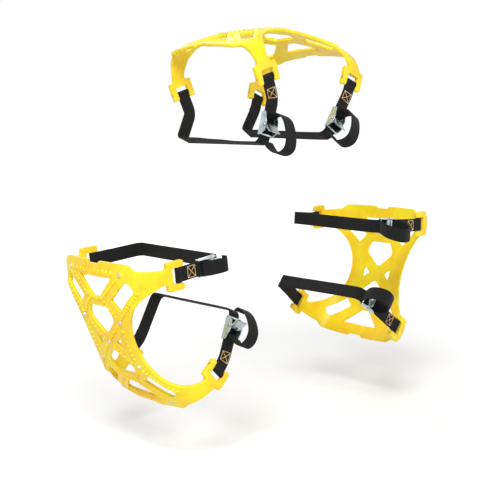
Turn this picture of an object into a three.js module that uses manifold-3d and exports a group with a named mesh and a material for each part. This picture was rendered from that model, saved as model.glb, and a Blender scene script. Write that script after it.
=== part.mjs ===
// A set of three snow chains of moulded plastic for a 235/60 R18 tyre, fitted round the tyre's outline.
// Each chain is a webbed tread pad with four forks. A steel pin in each fork holds a webbing strap, and each
// pair of straps meets through the wheel and is pulled tight by a cam buckle on the outer side.
// Millimetres. The wheel's axle is the Y axis, -Y is the street side, +Z is up.
import * as THREE from "three";
import { mergeVertices } from "three/addons/utils/BufferGeometryUtils.js";
import Module from "manifold-3d";

// Tyre section, from the crown out to the sidewall, as three tangent arcs
const TYRE_RADIUS = 369.5;
const CROWN_RADIUS = 520;
const CROWN_SLOPE = 9.2;
const SHOULDER_RADIUS = 42;
const SHOULDER_SLOPE = 80;
const SIDEWALL_RADIUS = 130;

// Tread pad, laid out flat: S runs across the tyre, U runs round it
const PAD_THICKNESS = 6;
const FORK_THICKNESS = 9;
const BEND_RADIUS = TYRE_RADIUS + PAD_THICKNESS;
const BEND_CUT = 25;
const THICKENING_LENGTH = 20;
const CROSSBAR_U = 147;
const CROSSBAR_S = 87;
const CROSSBAR_WIDTH = 27;
const CROSSBAR_CORNER = 6;
const NOTCH_FLARE = 2;
const NOTCH_HALF_WIDTH = 16;
const NOTCH_DEPTH = 5;
const ARM_U = 125;
const ARM_NECK = 24;
const WAIST_S = 67;
const FORK_BAR_S = 147;
const FORK_BAR_THICKNESS = 11;
const PRONG_LENGTH = 33;
const PRONG_WIDTH = 11;
const PRONG_CLEARANCE = 1;
const FORK_CORNER = 3;
const ARM_ROOT_S = 12;
const ARM_ROOT_CORNER = 10;
const NECK_BEFORE_FORK = 7;

// Windows of the pad: half widths across it and depths towards its middle
const TRAPEZIUM_OUTER = 46;
const TRAPEZIUM_INNER = 9;
const TRAPEZIUM_DEPTH = 35;
const RIB_WIDTH = 17;
const DOME_TOP = 25;
const DOME_WIDEST = 36;
const DOME_FOOT = 5;
const DOME_SHOULDER_DEPTH = 22;
const DOME_DEPTH = 50;
const TRIANGLE_TIP = 19;
const TRIANGLE_BASE = 35;
const TRIANGLE_HALF_HEIGHT = 14;

// Steel pin across each fork
const PIN_RADIUS = 2.5;
const PIN_FROM_TIP = 10;
const PIN_RECESS = 1;

// Webbing
const WEB_WIDTH = 25;
const WEB_THICKNESS = 1.7;
const LOOP_MOUTH = 3;
const CROSSING_BEYOND_NOSE = 13;
const CROSSING_CORNER = 12;
const SEWN_LENGTH = 38;
const LEAN_FROM = 14;
const OVERSHOOT = 6;

// Cam buckle, measured from its rear bar
const REAR_BAR_RADIUS = 2.2;
const BUCKLE_LENGTH = 37;
const EAR_BACK = 2;
const EAR_NOSE_HEIGHT = 6.5;
const EAR_TOP_BEFORE_AXLE = 8;
const EAR_TOP_BEYOND_AXLE = 9;
const EAR_THICKNESS = 1.8;
const EAR_HEIGHT = 16;
const PLATE_THICKNESS = 1.5;
const PLATE_START = 6.5;
const BRIDGE_LENGTH = 3.5;
const BRIDGE_THICKNESS = 1.8;
const AXLE_X = 20;
const AXLE_RADIUS = 2;
const AXLE_HEAD_RADIUS = 3.2;
const AXLE_HEAD = 1.2;
const CAM_BASE_RADIUS = 4.8;
const CAM_BITE = 7.2;
const CAM_TOOTH = 0.8;
const CAM_TEETH = 4;
const CAM_FIRST_TOOTH_ANGLE = -122;
const CAM_TOOTHED_ANGLE = 56;
const TAB_LENGTH = 18;
const TAB_THICKNESS = 2.2;
const TAB_ANGLE = 40;
const TAB_LIP = 1.5;
const SPRING_RADIUS = 3.6;
const SPRING_WIDTH = 7.2;
const SPRING_TURNS = 2;
const SPRING_GROOVE = 0.5;

// Clearances
const GAP = 0.3;
const SIDE_GAP = 0.7;

// The chains: where each pad's middle lies round the wheel, how far it sits towards the street side, how high
// its middle arches off the tread, and its two straps. On a strap, reach is the short strap's length, turn
// swings it round the wheel past its bend, pull is how far it draws the fork round the wheel, loop sizes the
// spare end, lean tips it sideways and sweep tips it towards the nose.
const CHAINS = [
  {
    name: "top",
    angle: 1.2,
    shift: -12,
    arch: 8,
    straps: {
      left: { side: -1, reach: 68, turn: -33, bendFrom: 30, pull: -2, loop: 1.1, lean: 0, sweep: 0.1 },
      right: { side: 1, reach: 64, turn: -12, bendFrom: 14, pull: 5, loop: 1.05, lean: -0.05, sweep: 0.1 },
    },
  },
  {
    name: "right",
    angle: 107.3,
    shift: -20,
    arch: 0,
    straps: {
      upper: { side: -1, reach: 88, turn: -5, bendFrom: 14, pull: 0, loop: 1.1, lean: 0.25, sweep: 0 },
      lower: { side: 1, reach: 88, turn: 2, bendFrom: 14, pull: 4, loop: 0.95, lean: -0.1, sweep: 0 },
    },
  },
  {
    name: "left",
    angle: 245.7,
    shift: 2,
    arch: 0,
    straps: {
      upper: { side: 1, reach: 50, turn: 1, bendFrom: 14, pull: -5.5, loop: 0.36, lean: 0.08, sweep: 0 },
      lower: { side: -1, reach: 62, turn: 22, bendFrom: 14, pull: -6.5, loop: 0.85, lean: 0, sweep: -0.8 },
    },
  },
];
const BEND_LENGTH = 20;

const STREET = -1;
const VEHICLE = 1;

const FORK_TIP_S = FORK_BAR_S + PRONG_LENGTH;
const PIN_S = FORK_TIP_S - PIN_FROM_TIP;
const FORK_WIDTH = WEB_WIDTH + 2 * (PRONG_WIDTH + PRONG_CLEARANCE);
const PIN_HOLE = PIN_RADIUS + GAP;
const LOOP_RADIUS = PIN_HOLE + WEB_THICKNESS;
const BAR_HOLE = REAR_BAR_RADIUS + GAP;
const BAR_LOOP_RADIUS = BAR_HOLE + WEB_THICKNESS;
const EAR_INNER = WEB_WIDTH / 2 + SIDE_GAP;
const EAR_OUTER = EAR_INNER + EAR_THICKNESS;
const PLATE_TOP = -3;
const CROSSING_X = BUCKLE_LENGTH + CROSSING_BEYOND_NOSE;
const PLATE_BOTTOM = PLATE_TOP - PLATE_THICKNESS;
const STRAP_N = PLATE_TOP + GAP + WEB_THICKNESS / 2;
const STRAP_TOP = STRAP_N + WEB_THICKNESS / 2;
const AXLE_N = STRAP_TOP + GAP + CAM_BITE;

const FINISH = {
  pad: { color: 0xf7d83a, roughness: 0.45, metalness: 0 },
  pin: { color: 0x9a9da0, roughness: 0.35, metalness: 1 },
  webbing: { color: 0x1b1c1f, roughness: 0.85, metalness: 0 },
  zinc: { color: 0xc3d2d2, roughness: 0.3, metalness: 1 },
  spring: { color: 0x8c9296, roughness: 0.3, metalness: 1 },
};

const wasm = await Module();
wasm.setup();

const radians = THREE.MathUtils.degToRad;

function solidOf(geometry) {
  const bare = geometry.clone();
  bare.deleteAttribute("normal");
  bare.deleteAttribute("uv");
  const merged = mergeVertices(bare, 1e-4);
  return new wasm.Manifold(
    new wasm.Mesh({
      numProp: 3,
      vertProperties: new Float32Array(merged.attributes.position.array),
      triVerts: new Uint32Array(merged.index.array),
    }),
  );
}

function geometryOf(solid) {
  const mesh = solid.getMesh();
  const geometry = new THREE.BufferGeometry();
  geometry.setAttribute("position", new THREE.BufferAttribute(new Float32Array(mesh.vertProperties), 3));
  geometry.setIndex(new THREE.BufferAttribute(new Uint32Array(mesh.triVerts), 1));
  geometry.computeVertexNormals();
  return geometry;
}

function makeMesh(name, geometry, finish) {
  const mesh = new THREE.Mesh(geometry, new THREE.MeshStandardMaterial(FINISH[finish]));
  mesh.name = name;
  return mesh;
}

// How far from the crown's middle, along the surface, the crown's and the shoulder's arcs end
function sectionEnds() {
  const crownEnd = CROWN_RADIUS * radians(CROWN_SLOPE);
  return { crownEnd, shoulderEnd: crownEnd + SHOULDER_RADIUS * radians(SHOULDER_SLOPE - CROWN_SLOPE) };
}

// A point of the tyre's section: how far out along the axle, how far from it, and the slope there
function tyreSection(s) {
  const across = Math.abs(s);
  const crownSlope = radians(CROWN_SLOPE);
  const shoulderSlope = radians(SHOULDER_SLOPE);
  const { crownEnd, shoulderEnd } = sectionEnds();
  let out = 0;
  let radius = TYRE_RADIUS;
  let slope = Math.min(across, crownEnd) / CROWN_RADIUS;
  out += CROWN_RADIUS * Math.sin(slope);
  radius -= CROWN_RADIUS * (1 - Math.cos(slope));
  if (across > crownEnd) {
    slope = crownSlope + (Math.min(across, shoulderEnd) - crownEnd) / SHOULDER_RADIUS;
    out += SHOULDER_RADIUS * (Math.sin(slope) - Math.sin(crownSlope));
    radius -= SHOULDER_RADIUS * (Math.cos(crownSlope) - Math.cos(slope));
  }
  if (across > shoulderEnd) {
    const turned = slope + (across - shoulderEnd) / SIDEWALL_RADIUS;
    out += SIDEWALL_RADIUS * (Math.sin(turned) - Math.sin(slope));
    radius -= SIDEWALL_RADIUS * (Math.cos(slope) - Math.cos(turned));
    slope = turned;
  }
  return { out: Math.sign(s) * out, radius, slope: Math.sign(s) * slope };
}

// The direction away from the axle at an angle in radians, clockwise from the top seen from the street side
function radialAt(angle) {
  return new THREE.Vector3(Math.sin(angle), 0, Math.cos(angle));
}

function padThickness(s) {
  return THREE.MathUtils.lerp(
    PAD_THICKNESS,
    FORK_THICKNESS,
    THREE.MathUtils.smoothstep(Math.abs(s), FORK_BAR_S - THICKENING_LENGTH, FORK_BAR_S),
  );
}

function pullOf(chain, side) {
  return Object.values(chain.straps).find((strap) => strap.side === side).pull;
}

// Wraps a point of the flat pad onto the tyre. The arms and forks keep their true width as the radius falls.
function wrapPad(s, u, height, chain) {
  const section = tyreSection(s + chain.shift);
  const { crownEnd, shoulderEnd } = sectionEnds();
  const share = THREE.MathUtils.smoothstep(Math.abs(s + chain.shift), crownEnd, shoulderEnd);
  const side = Math.sign(u) || 1;
  const pulled = pullOf(chain, side) * THREE.MathUtils.smoothstep(Math.abs(s), WAIST_S, FORK_BAR_S);
  const bend = THREE.MathUtils.lerp(BEND_RADIUS, section.radius, share);
  const turn = (side * ARM_U) / BEND_RADIUS + (u - side * ARM_U + pulled) / bend;
  const radial = radialAt(radians(chain.angle) + turn);
  const arched = chain.arch * (1 - share) * Math.cos((Math.PI / 2) * (u / CROSSBAR_U)) ** 2;
  const out = section.out + (height + arched) * Math.sin(section.slope);
  const radius = section.radius + (height + arched) * Math.cos(section.slope);
  return radial.multiplyScalar(radius).add(new THREE.Vector3(0, STREET * out, 0));
}

// A closed outline from corners given as [x, y, fillet radius]
function roundedOutline(corners, steps) {
  const points = [];
  corners.forEach(([x, y, radius], i) => {
    const corner = new THREE.Vector2(x, y);
    if (!radius) {
      points.push(corner);
      return;
    }
    const before = corners[(i + corners.length - 1) % corners.length];
    const after = corners[(i + 1) % corners.length];
    const back = new THREE.Vector2(before[0] - x, before[1] - y).normalize();
    const on = new THREE.Vector2(after[0] - x, after[1] - y).normalize();
    const half = Math.acos(THREE.MathUtils.clamp(back.dot(on), -1, 1)) / 2;
    const start = corner.clone().addScaledVector(back, radius / Math.tan(half));
    const end = corner.clone().addScaledVector(on, radius / Math.tan(half));
    const middle = back.clone().add(on).normalize();
    const centre = corner.clone().addScaledVector(middle, radius / Math.sin(half));
    const from = Math.atan2(start.y - centre.y, start.x - centre.x);
    let sweep = Math.atan2(end.y - centre.y, end.x - centre.x) - from;
    sweep -= 2 * Math.PI * Math.round(sweep / (2 * Math.PI));
    for (let k = 0; k <= steps; k++) {
      const a = from + (sweep * k) / steps;
      points.push(new THREE.Vector2(centre.x + radius * Math.cos(a), centre.y + radius * Math.sin(a)));
    }
  });
  return points;
}

// The pad's outline in the quarter where S and U are both positive, from the notch round to the waist
function padQuarter() {
  const prong = FORK_WIDTH / 2;
  const inside = prong - PRONG_WIDTH;
  const barInner = FORK_BAR_S + FORK_BAR_THICKNESS;
  const neck = ARM_NECK / 2;
  const tip = FORK_TIP_S;
  const corners = roundedOutline(
    [
      [0, 0, 0],
      [0, CROSSBAR_U - NOTCH_DEPTH, 0],
      [NOTCH_HALF_WIDTH - NOTCH_FLARE, CROSSBAR_U - NOTCH_DEPTH, 0],
      [NOTCH_HALF_WIDTH + NOTCH_FLARE, CROSSBAR_U, 0],
      [CROSSBAR_S, CROSSBAR_U, CROSSBAR_CORNER],
      [CROSSBAR_S + ARM_ROOT_S, ARM_U + neck + 1, ARM_ROOT_CORNER],
      [FORK_BAR_S, ARM_U + neck + 1, 0],
      [FORK_BAR_S, ARM_U + prong, FORK_CORNER],
      [tip, ARM_U + prong, FORK_CORNER],
      [tip, ARM_U + inside, FORK_CORNER],
      [barInner, ARM_U + inside, 0],
      [barInner, ARM_U - inside, 0],
      [tip, ARM_U - inside, FORK_CORNER],
      [tip, ARM_U - prong, FORK_CORNER],
      [FORK_BAR_S, ARM_U - prong, FORK_CORNER],
      [FORK_BAR_S, ARM_U - neck, 0],
    ],
    1,
  ).slice(1);
  const neckS = FORK_BAR_S - NECK_BEFORE_FORK;
  const neckU = ARM_U - neck;
  const centre = (neckS * neckS + neckU * neckU - WAIST_S * WAIST_S) / (2 * (neckS - WAIST_S));
  const radius = centre - WAIST_S;
  const from = Math.atan2(neckU, neckS - centre);
  const steps = 7;
  for (let k = 0; k <= steps; k++) {
    const a = from + ((Math.PI - from) * k) / steps;
    corners.push(new THREE.Vector2(centre + radius * Math.cos(a), Math.max(0, radius * Math.sin(a))));
  }
  return corners;
}

function mirrored(points, sideS, sideU) {
  const copy = points.map((p) => new THREE.Vector2(p.x * sideS, p.y * sideU));
  return sideS * sideU < 0 ? copy.reverse() : copy;
}

function padOutline() {
  const quarter = padQuarter();
  const joined = [
    ...quarter,
    ...mirrored(quarter, 1, -1).slice(1),
    ...mirrored(quarter, -1, -1).slice(1),
    ...mirrored(quarter, -1, 1).slice(1, -1),
  ];
  return joined.reverse();
}

// The windows of the pad: a trapezium behind each crossbar, a dome inside it, a small triangle each side of
// the middle and a slanted slot in each shoulder
function padWindows() {
  const trapeziumU = CROSSBAR_U - CROSSBAR_WIDTH;
  const ribU = trapeziumU - TRAPEZIUM_DEPTH;
  const domeU = ribU - RIB_WIDTH;
  const trapezium = [
    [-TRAPEZIUM_OUTER, trapeziumU, 1.5],
    [TRAPEZIUM_OUTER, trapeziumU, 1.5],
    [TRAPEZIUM_INNER, ribU, 6],
    [-TRAPEZIUM_INNER, ribU, 6],
  ];
  const dome = [
    [-DOME_TOP, domeU, 6],
    [DOME_TOP, domeU, 6],
    [DOME_WIDEST, domeU - DOME_SHOULDER_DEPTH, 12],
    [DOME_FOOT, domeU - DOME_DEPTH, 4],
    [-DOME_FOOT, domeU - DOME_DEPTH, 4],
    [-DOME_WIDEST, domeU - DOME_SHOULDER_DEPTH, 12],
  ];
  const triangle = [
    [TRIANGLE_TIP, 0, 2],
    [TRIANGLE_BASE, TRIANGLE_HALF_HEIGHT, 3],
    [TRIANGLE_BASE, -TRIANGLE_HALF_HEIGHT, 3],
  ];
  const slot = [
    [WAIST_S - 27, ARM_U - 43, 2],
    [WAIST_S - 9, ARM_U - 61, 3],
    [CROSSBAR_S + 9, ARM_U - 22, 8],
    [CROSSBAR_S - 5, ARM_U - 6, 8],
  ];
  const windows = [];
  for (const side of [1, -1]) {
    windows.push(mirrored(roundedOutline(trapezium, 1), 1, side));
    windows.push(mirrored(roundedOutline(dome, 1), 1, side));
    windows.push(mirrored(roundedOutline(triangle, 1), side, 1));
    for (const end of [1, -1]) {
      windows.push(mirrored(roundedOutline(slot, 2), side, end));
    }
  }
  return windows;
}

// Splits convex polygons along the line where one coordinate has a value
function splitAlong(polygons, coordinate, value) {
  const pieces = [];
  for (const polygon of polygons) {
    const low = [];
    const high = [];
    polygon.forEach((p, i) => {
      const q = polygon[(i + 1) % polygon.length];
      const a = p[coordinate] - value;
      const b = q[coordinate] - value;
      if (a <= 1e-6) low.push(p);
      if (a >= -1e-6) high.push(p);
      if ((a < -1e-6 && b > 1e-6) || (a > 1e-6 && b < -1e-6)) {
        const ends = a < b ? [p, q] : [q, p];
        const share = (value - ends[0][coordinate]) / (ends[1][coordinate] - ends[0][coordinate]);
        const cut = ends[0].clone().lerp(ends[1], share);
        cut[coordinate] = value;
        low.push(cut);
        high.push(cut);
      }
    });
    for (const piece of [low, high]) {
      const values = piece.map((p) => p[coordinate]);
      const flat = Math.max(...values) - Math.min(...values) < 1e-5;
      if (piece.length > 2 && !flat) pieces.push(piece);
    }
  }
  return pieces;
}

// The flat cells of an outline with holes, split along the given lines so that they can follow a bend
function flatCells(outline, holes, cuts) {
  const all = [outline, ...holes].flat();
  let cells = THREE.ShapeUtils.triangulateShape(outline, holes).map((face) => face.map((i) => all[i]));
  for (const [coordinate, value] of cuts) cells = splitAlong(cells, coordinate, value);
  return cells;
}

// A closed plate of flat cells. place gives where a flat point lies on the plate's underside or its top.
function plate(cells, place) {
  const corners = new Map();
  const flat = [];
  const cornerOf = (p) => {
    const key = Math.round(p.x * 1e3) + " " + Math.round(p.y * 1e3);
    if (!corners.has(key)) {
      corners.set(key, flat.length);
      flat.push(p);
    }
    return corners.get(key);
  };
  const faces = [];
  for (const cell of cells) {
    const ring = cell.map(cornerOf).filter((c, i, r) => c !== r[(i + 1) % r.length]);
    for (let k = 1; k < ring.length - 1; k++) faces.push([ring[0], ring[k], ring[k + 1]]);
  }
  const edges = new Set(faces.flatMap(([a, b, c]) => [a + " " + b, b + " " + c, c + " " + a]));
  const positions = flat.flatMap((p) => place(p, false).toArray());
  positions.push(...flat.flatMap((p) => place(p, true).toArray()));
  const top = flat.length;
  const index = [];
  for (const [a, b, c] of faces) index.push(a, c, b, a + top, b + top, c + top);
  for (const edge of edges) {
    const [a, b] = edge.split(" ").map(Number);
    if (!edges.has(b + " " + a)) index.push(a, b, b + top, a, b + top, a + top);
  }
  const geometry = new THREE.BufferGeometry();
  geometry.setAttribute("position", new THREE.Float32BufferAttribute(positions, 3));
  geometry.setIndex(index);
  return geometry;
}

function padBlank(chain) {
  const { crownEnd, shoulderEnd } = sectionEnds();
  const shoulderSteps = 3;
  const cuts = [];
  for (const side of [1, -1]) {
    for (let k = 0; k <= shoulderSteps; k++) {
      const across = THREE.MathUtils.lerp(crownEnd, shoulderEnd, k / shoulderSteps);
      cuts.push(["x", side * across - chain.shift]);
    }
    cuts.push(["x", side * FORK_BAR_S], ["y", side * BEND_CUT], ["y", side * 3 * BEND_CUT]);
  }
  return plate(flatCells(padOutline(), padWindows(), cuts), (p, top) => {
    return wrapPad(p.x, p.y, top ? padThickness(p.x) : 0, chain);
  });
}

// The frame of a fork's pin: X runs along the strap towards the axle, Y stands off the tyre, Z is the pin
function pinFrame(chain, side, face) {
  const s = STREET * face * PIN_S;
  const section = tyreSection(s + chain.shift);
  const turn = (side * ARM_U) / BEND_RADIUS + pullOf(chain, side) / section.radius;
  const radial = radialAt(radians(chain.angle) + turn);
  const outward = new THREE.Vector3(0, face, 0);
  const slope = Math.abs(section.slope);
  const inward = outward.clone().multiplyScalar(Math.cos(slope));
  inward.addScaledVector(radial, -Math.sin(slope));
  const normal = outward.clone().multiplyScalar(Math.sin(slope));
  normal.addScaledVector(radial, Math.cos(slope));
  const place = radial.clone().multiplyScalar(section.radius);
  place.addScaledVector(outward, Math.abs(section.out));
  place.addScaledVector(normal, FORK_THICKNESS / 2);
  const matrix = new THREE.Matrix4().makeBasis(inward, normal, inward.clone().cross(normal));
  return matrix.setPosition(place);
}

function cylinderAlongZ(radius, length, sides) {
  return new THREE.CylinderGeometry(radius, radius, length, sides).rotateX(Math.PI / 2);
}

function forkPin() {
  return cylinderAlongZ(PIN_RADIUS, FORK_WIDTH - 2 * PIN_RECESS, 12);
}

function treadPad(chain) {
  let pad = solidOf(padBlank(chain));
  for (const face of [STREET, VEHICLE]) {
    for (const side of [-1, 1]) {
      const hole = cylinderAlongZ(PIN_HOLE, 2 * FORK_WIDTH, 12).applyMatrix4(pinFrame(chain, side, face));
      pad = pad.subtract(solidOf(hole));
    }
  }
  return geometryOf(pad);
}

// A band of even thickness along a line of points, as an outline
function bandOutline(line, thickness) {
  const left = [];
  const right = [];
  line.forEach((p, i) => {
    const before = line[Math.max(i - 1, 0)];
    const after = line[Math.min(i + 1, line.length - 1)];
    const along = after.clone().sub(before).normalize();
    const across = new THREE.Vector2(-along.y, along.x).multiplyScalar(thickness / 2);
    left.push(p.clone().add(across));
    right.push(p.clone().sub(across));
  });
  return right.concat(left.reverse());
}

function arcPoints(x, y, radius, fromDegrees, toDegrees, steps) {
  return Array.from({ length: steps + 1 }, (_, k) => {
    const a = radians(fromDegrees + ((toDegrees - fromDegrees) * k) / steps);
    return new THREE.Vector2(x + radius * Math.cos(a), y + radius * Math.sin(a));
  });
}

function ringPoints(x, y, radius) {
  return arcPoints(x, y, radius, 0, 324, 9);
}

function extrudeAcross(outline, holes, width) {
  const shape = new THREE.Shape(outline);
  shape.holes = holes.map((hole) => new THREE.Path(hole));
  const geometry = new THREE.ExtrudeGeometry(shape, { depth: width, bevelEnabled: false, steps: 1 });
  return geometry.translate(0, 0, -width / 2);
}

// Moves a point of a straight strap to where it lies once the strap bends in its own plane
function bendStrap(point, bend) {
  const { x, y, z } = point;
  const beyond = Math.max(0, x - bend.from - BEND_LENGTH);
  const turned = THREE.MathUtils.clamp((x - bend.from) / BEND_LENGTH, 0, 1) * bend.turn;
  const radius = BEND_LENGTH / bend.turn;
  let along = Math.min(x, bend.from);
  let aside = 0;
  if (x > bend.from) {
    along += radius * Math.sin(turned) + beyond * Math.cos(turned);
    aside = radius * (1 - Math.cos(turned)) + beyond * Math.sin(turned);
  }
  return new THREE.Vector3(along - z * Math.sin(turned), y, aside + z * Math.cos(turned));
}

function moved(geometry, move) {
  const position = geometry.attributes.position;
  const point = new THREE.Vector3();
  for (let i = 0; i < position.count; i++) {
    point.fromBufferAttribute(position, i);
    position.setXYZ(i, ...move(point).toArray());
  }
  return geometry;
}

// A strap of an outline seen from its edge, cut where it bends in its own plane or leaves it
function strapBlank(outline, holes, bend, levels) {
  const steps = 4;
  const cuts = levels.map((level) => ["y", level]);
  for (let k = 0; k <= steps && bend; k++) cuts.push(["x", bend.from + (BEND_LENGTH * k) / steps]);
  return plate(flatCells(outline, holes, cuts), (p, top) => {
    return new THREE.Vector3(p.x, p.y, ((top ? 1 : -1) * WEB_WIDTH) / 2);
  });
}

// The short strap: a doubled loop of webbing from the fork's pin to the buckle's rear bar
function shortStrap(bend, reach) {
  const barMouth = reach - BAR_LOOP_RADIUS - 1;
  const outline = [
    ...arcPoints(0, 0, LOOP_RADIUS, 60, 300, 7),
    new THREE.Vector2(LOOP_RADIUS + LOOP_MOUTH, -WEB_THICKNESS),
    new THREE.Vector2(barMouth, -WEB_THICKNESS),
    ...arcPoints(reach, 0, BAR_LOOP_RADIUS, -120, 120, 7),
    new THREE.Vector2(barMouth, WEB_THICKNESS),
    new THREE.Vector2(LOOP_RADIUS + LOOP_MOUTH, WEB_THICKNESS),
  ];
  const holes = [ringPoints(0, 0, PIN_HOLE), ringPoints(reach, 0, BAR_HOLE)];
  return moved(strapBlank(outline, holes, bend, []), (p) => bendStrap(p, bend));
}

// Runs the part of a strap that lies deeper than start parallel to the axle, and ends it at the mid-plane
function crossToMiddle(point, start, frame) {
  const outward = frame.outward;
  const deeper = Math.max(0, start - point.y);
  const placed = point.clone();
  placed.x -= (outward.x / outward.y) * deeper;
  placed.z -= (outward.z / outward.y) * deeper;
  const height = frame.height + placed.dot(outward);
  if (height < GAP / 2) placed.addScaledVector(outward, GAP / 2 - height);
  return placed;
}

// Where a strap's own frame lies to the mid-plane: the axle's outward direction and the frame's height
function heightFrame(matrix, face) {
  const inverse = matrix.clone().invert();
  const outward = new THREE.Vector3(0, face, 0).transformDirection(inverse);
  const origin = new THREE.Vector3().setFromMatrixPosition(matrix);
  return { outward, height: face * origin.y };
}

// The long strap's first run: sewn round the vehicle-side pin, down the sidewall and in to the mid-plane
function innerRun(bend, reach, frame) {
  const middle = -WEB_THICKNESS / 2;
  const corner = CROSSING_CORNER;
  const deep = -(frame.height + OVERSHOOT);
  const outline = [
    ...arcPoints(0, 0, LOOP_RADIUS, 60, 300, 7),
    new THREE.Vector2(LOOP_RADIUS + LOOP_MOUTH, -WEB_THICKNESS),
    ...arcPoints(reach - corner, middle - corner, corner - WEB_THICKNESS / 2, 90, 0, 4),
    new THREE.Vector2(reach - WEB_THICKNESS / 2, deep),
    new THREE.Vector2(reach + WEB_THICKNESS / 2, deep),
    ...arcPoints(reach - corner, middle - corner, corner + WEB_THICKNESS / 2, 0, 90, 4),
    new THREE.Vector2(SEWN_LENGTH, 0),
    new THREE.Vector2(SEWN_LENGTH, WEB_THICKNESS),
    new THREE.Vector2(LOOP_RADIUS + LOOP_MOUTH, WEB_THICKNESS),
  ];
  const blank = strapBlank(outline, [ringPoints(0, 0, PIN_HOLE)], bend, [middle - corner]);
  return moved(blank, (p) => crossToMiddle(bendStrap(p, bend), middle - corner, frame));
}

// The long strap's second run, in the buckle's frame: out from the mid-plane, in at the buckle's nose, under
// the cam, over the rear bar and round in a loose loop whose end is tucked in beside the nose
function outerRun(strap, frame) {
  const reach = CROSSING_X;
  const corner = CROSSING_CORNER;
  const deep = -(frame.height + OVERSHOOT);
  const loop = [
    [1, 9.5],
    [-1, 18],
    [0, 31],
    [7, 44],
    [21, 54],
    [BUCKLE_LENGTH - 1, 60],
    [BUCKLE_LENGTH + 13, 60],
    [BUCKLE_LENGTH + 22, 51],
    [BUCKLE_LENGTH + 25, 37],
    [BUCKLE_LENGTH + 20, 21],
    [BUCKLE_LENGTH + 10, 8],
  ];
  const start = AXLE_X - 8.5;
  const lifted = [new THREE.Vector2(start - 3, STRAP_N + 1.6), new THREE.Vector2(start - 6.4, STRAP_N + 6)];
  const [first, last] = [loop[0], loop[loop.length - 1]];
  const sized = loop.map(([x, n], i) => {
    const share = i / (loop.length - 1);
    const anchorX = THREE.MathUtils.lerp(first[0], last[0], share);
    const anchorN = THREE.MathUtils.lerp(first[1], last[1], share);
    return new THREE.Vector2(
      anchorX + (x - anchorX) * strap.loop,
      anchorN + (n - anchorN) * strap.loop,
    );
  });
  const spare = new THREE.SplineCurve([...lifted, ...sized]).getPoints(22);
  const line = [
    new THREE.Vector2(reach, deep),
    ...arcPoints(reach - corner, STRAP_N - corner, corner, 0, 90, 4),
    new THREE.Vector2(start, STRAP_N),
    ...spare,
  ];
  const lean = (p) => {
    const beyond = Math.max(0, p.y - LEAN_FROM);
    return new THREE.Vector3(p.x + strap.sweep * beyond, p.y, p.z - strap.lean * beyond);
  };
  const blank = strapBlank(bandOutline(line, WEB_THICKNESS), [], null, [LEAN_FROM, STRAP_N - corner]);
  return moved(blank, (p) => crossToMiddle(lean(p), STRAP_N - corner, frame));
}

function block(lowX, highX, lowY, highY, halfZ) {
  const box = new THREE.BoxGeometry(highX - lowX, highY - lowY, 2 * halfZ);
  return solidOf(box.translate((lowX + highX) / 2, (lowY + highY) / 2, 0));
}

function buckleFrame() {
  const top = PLATE_BOTTOM + EAR_HEIGHT;
  const back = -REAR_BAR_RADIUS - EAR_BACK;
  const outline = roundedOutline(
    [
      [back, PLATE_BOTTOM, 1.5],
      [BUCKLE_LENGTH, PLATE_BOTTOM, 1.5],
      [BUCKLE_LENGTH, PLATE_BOTTOM + EAR_NOSE_HEIGHT, 2],
      [AXLE_X + EAR_TOP_BEYOND_AXLE, top, 4],
      [AXLE_X - EAR_TOP_BEFORE_AXLE, top, 4],
      [back, REAR_BAR_RADIUS + EAR_BACK, 2],
    ],
    1,
  );
  const hole = ringPoints(AXLE_X, AXLE_N, AXLE_RADIUS + GAP);
  const weld = EAR_INNER + EAR_THICKNESS / 2;
  const bar = cylinderAlongZ(REAR_BAR_RADIUS, 2 * weld, 10);
  const bridgeLow = STRAP_TOP + 2 * GAP;
  let frame = block(PLATE_START, BUCKLE_LENGTH, PLATE_BOTTOM, PLATE_TOP, weld);
  frame = frame.add(
    block(BUCKLE_LENGTH - BRIDGE_LENGTH, BUCKLE_LENGTH - 0.4, bridgeLow, bridgeLow + BRIDGE_THICKNESS, weld),
  );
  for (const side of [1, -1]) {
    const ear = extrudeAcross(outline, [hole], EAR_THICKNESS);
    frame = frame.add(solidOf(ear.translate(0, 0, side * weld)));
  }
  return geometryOf(frame.add(solidOf(bar)));
}

function camAxle() {
  const shaft = EAR_OUTER + GAP;
  const end = shaft + AXLE_HEAD;
  const profile = [
    [0, -end],
    [AXLE_HEAD_RADIUS, -end],
    [AXLE_HEAD_RADIUS, -shaft],
    [AXLE_RADIUS, -shaft],
    [AXLE_RADIUS, shaft],
    [AXLE_HEAD_RADIUS, shaft],
    [AXLE_HEAD_RADIUS, end],
    [0, end],
  ].map(([r, z]) => new THREE.Vector2(r, z));
  return new THREE.LatheGeometry(profile, 8).rotateX(Math.PI / 2);
}

// The torsion spring's outer shape: close turns of wire round the axle
function camSpring() {
  const inner = AXLE_RADIUS + GAP;
  const pitch = SPRING_WIDTH / SPRING_TURNS;
  const profile = [new THREE.Vector2(inner, -SPRING_WIDTH / 2)];
  for (let k = 0; k < SPRING_TURNS; k++) {
    const low = -SPRING_WIDTH / 2 + k * pitch;
    profile.push(new THREE.Vector2(SPRING_RADIUS - SPRING_GROOVE, low));
    profile.push(new THREE.Vector2(SPRING_RADIUS, low + pitch / 2));
  }
  profile.push(new THREE.Vector2(SPRING_RADIUS - SPRING_GROOVE, SPRING_WIDTH / 2));
  profile.push(new THREE.Vector2(inner, SPRING_WIDTH / 2), profile[0].clone());
  return new THREE.LatheGeometry(profile, 8).rotateX(Math.PI / 2);
}

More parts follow.
